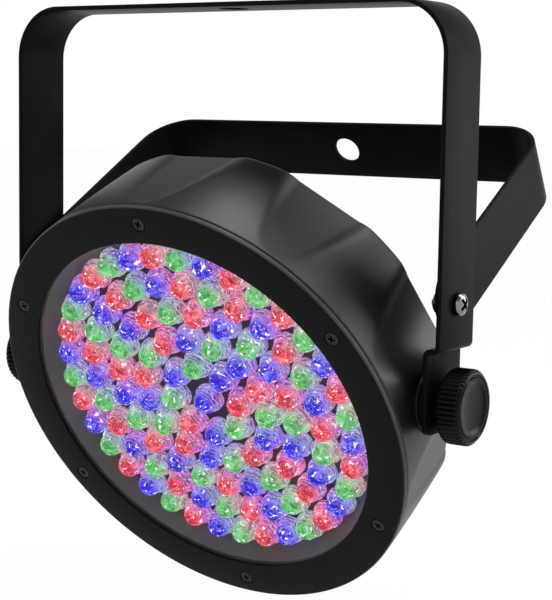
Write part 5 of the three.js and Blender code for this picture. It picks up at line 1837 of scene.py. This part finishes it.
class Stage(bpy.types.Operator):
    """Sets the pale floor, the soft lamps, the world and the camera."""

    bl_idname = "par_light.stage"
    bl_label = "Stage"

    lamps = (
        # name, place, looks at, width, height, brightness
        ("top_softbox", (0.05, 0.26, 0.98), (0, 0, -0.12), 0.60, 0.28, 11.0),
        ("corner_softbox", (0.54, 0.40, 0.76), (0, 0, -0.12), 0.50, 0.30, 10.5),
        ("left_softbox", (-0.62, 0.42, 0.60), (0, 0, -0.12), 0.35, 0.35, 0.6),
        ("key_softbox", (-0.62, -0.46, 0.72), (0, 0, -0.12), 0.24, 0.24, 13.0),
        ("right_softbox", (0.80, 0.66, 0.34), (0, 0, -0.12), 0.40, 0.40, 6.0),
        ("side_softbox", (0.36, 0.36, -0.07), (0.113, 0, -0.08), 0.16, 0.18, 3.7),
        ("front_fill", (0.10, -1.30, 0.35), (0, 0, -0.15), 0.80, 0.80, 1.2),
    )

    def execute(self, context):
        low = CAD_BOX[0][2]
        self.floor(low)
        self.world()
        for name, place, aim, wide, high, bright in self.lamps:
            light = bpy.data.lights.new(name, "AREA")
            light.shape, light.size, light.size_y = "RECTANGLE", wide, high
            light.energy = bright * math.pi * wide * high
            lamp = linked(name, light)
            lamp.location = place
            lamp.rotation_euler = (Vector(aim) - Vector(place)).to_track_quat("-Z", "Y").to_euler()
        self.camera()
        bpy.context.scene.view_settings.view_transform = "Standard"
        return {"FINISHED"}

    @staticmethod
    def seen(maker):
        """1 for rays that show the background: from the camera, off gloss, or through glass."""
        path = maker.tree.nodes.new("ShaderNodeLightPath")
        rays = [Socket(maker, path.outputs[name]) for name in
                ("Is Camera Ray", "Is Glossy Ray", "Is Transmission Ray")]
        return rays[0].math("MAXIMUM", rays[1]).math("MAXIMUM", rays[2])

    def floor(self, low):
        """A pale sheet under the lowest point, nearly white wherever a ray shows it."""
        reach, whiteness = 6.0, 0.97
        f = Finish("pale_floor")
        seen = self.seen(f)
        speck = f.noise(f.place(), 60, 2)
        tone = f.mix((0.86, 0.86, 0.86), (0.88, 0.88, 0.88), speck)
        paper = f.add("ShaderNodeBsdfDiffuse", None, {"Color": tone})
        white = f.add("ShaderNodeEmission", None, {"Color": (1, 1, 1, 1), "Strength": 1.0})
        whole = f.add("ShaderNodeMixShader", None, [seen * whiteness, paper, white])
        f.add("ShaderNodeOutputMaterial", None, {"Surface": whole})
        mesh = bpy.data.meshes.new("floor")
        mesh.from_pydata([(-reach, -reach, low), (reach, -reach, low), (reach, reach, low),
                          (-reach, reach, low)], [], [[0, 1, 2, 3]])
        mesh.materials.append(f.material)
        linked("floor", mesh)

    def world(self):
        """A dim even light, whose background is white at eye level and grey overhead."""
        ambient, ceiling, eye_level, overhead = 0.42, 0.2, 0.25, 0.6
        world = bpy.data.worlds.new("studio")
        bpy.context.scene.world = world
        world.use_nodes = True
        maker = NodeMaker(world.node_tree)
        maker.tree.nodes.clear()
        _, _, up = maker.split(maker.add("ShaderNodeTexCoord", None, None, "Generated"))
        backdrop = 1 - up.rise(eye_level, overhead) * (1 - ceiling)
        strength = ambient + self.seen(maker) * (backdrop - ambient)
        light = maker.add("ShaderNodeBackground", None, {"Color": (1, 1, 1, 1), "Strength": strength})
        maker.add("ShaderNodeOutputWorld", None, {"Surface": light})

    @staticmethod
    def camera():
        """Stands where the photograph was taken from."""
        yaw, pitch, roll = (math.radians(a) for a in (32.89, -6.67, 0.97))
        right = Vector((math.cos(yaw), math.sin(yaw), 0))
        ahead = Vector((-math.sin(yaw) * math.cos(pitch), math.cos(yaw) * math.cos(pitch), math.sin(pitch)))
        up = right.cross(ahead)
        rolled_right = right * math.cos(roll) + up * math.sin(roll)
        rolled_up = up * math.cos(roll) - right * math.sin(roll)
        data = bpy.data.cameras.new("camera")
        data.sensor_width, data.lens = 36.0, 93.84
        data.shift_x, data.shift_y = -0.0217, -0.0104
        camera = linked("camera", data)
        axes = Matrix((rolled_right, rolled_up, -ahead)).transposed().to_4x4()
        camera.matrix_world = Matrix.Translation((0.39872, -0.56849, -0.04594)) @ axes
        bpy.context.scene.camera = camera


STEPS = (RearHousing, FrontBezel, Window, LedField, Brackets, Pivots, HandKnobs, RearCover,
         Menu, DataSockets, PowerSockets, SafetyLoop, InnerParts, Stage)


class ParLightSidebar(bpy.types.Panel):
    """Lists the par light's sizes and building steps."""

    bl_idname = "VIEW3D_PT_par_light"
    bl_label = "Par Light"
    bl_space_type = "VIEW_3D"
    bl_region_type = "UI"
    bl_category = "Par Light"

    def draw(self, context):
        layout = self.layout
        for key, group in SETTINGS.items():
            box = layout.box()
            box.label(text=group.__doc__.split(";")[0].rstrip("."))
            for name in group.__annotations__:
                box.prop(getattr(context.scene, key), name)
        for step in STEPS:
            layout.operator(step.bl_idname)


CLASSES = (*SETTINGS.values(), *STEPS, ParLightSidebar)


def register():
    for one in CLASSES:
        bpy.utils.register_class(one)
    for key, group in SETTINGS.items():
        setattr(bpy.types.Scene, key, bpy.props.PointerProperty(type=group))


def unregister():
    for key in SETTINGS:
        delattr(bpy.types.Scene, key)
    for one in reversed(CLASSES):
        bpy.utils.unregister_class(one)


def main():
    """Builds the whole light and its stage."""
    register()
    for step in STEPS:
        getattr(bpy.ops.par_light, step.bl_idname.split(".")[1])()


if __name__ == "__main__":
    main()
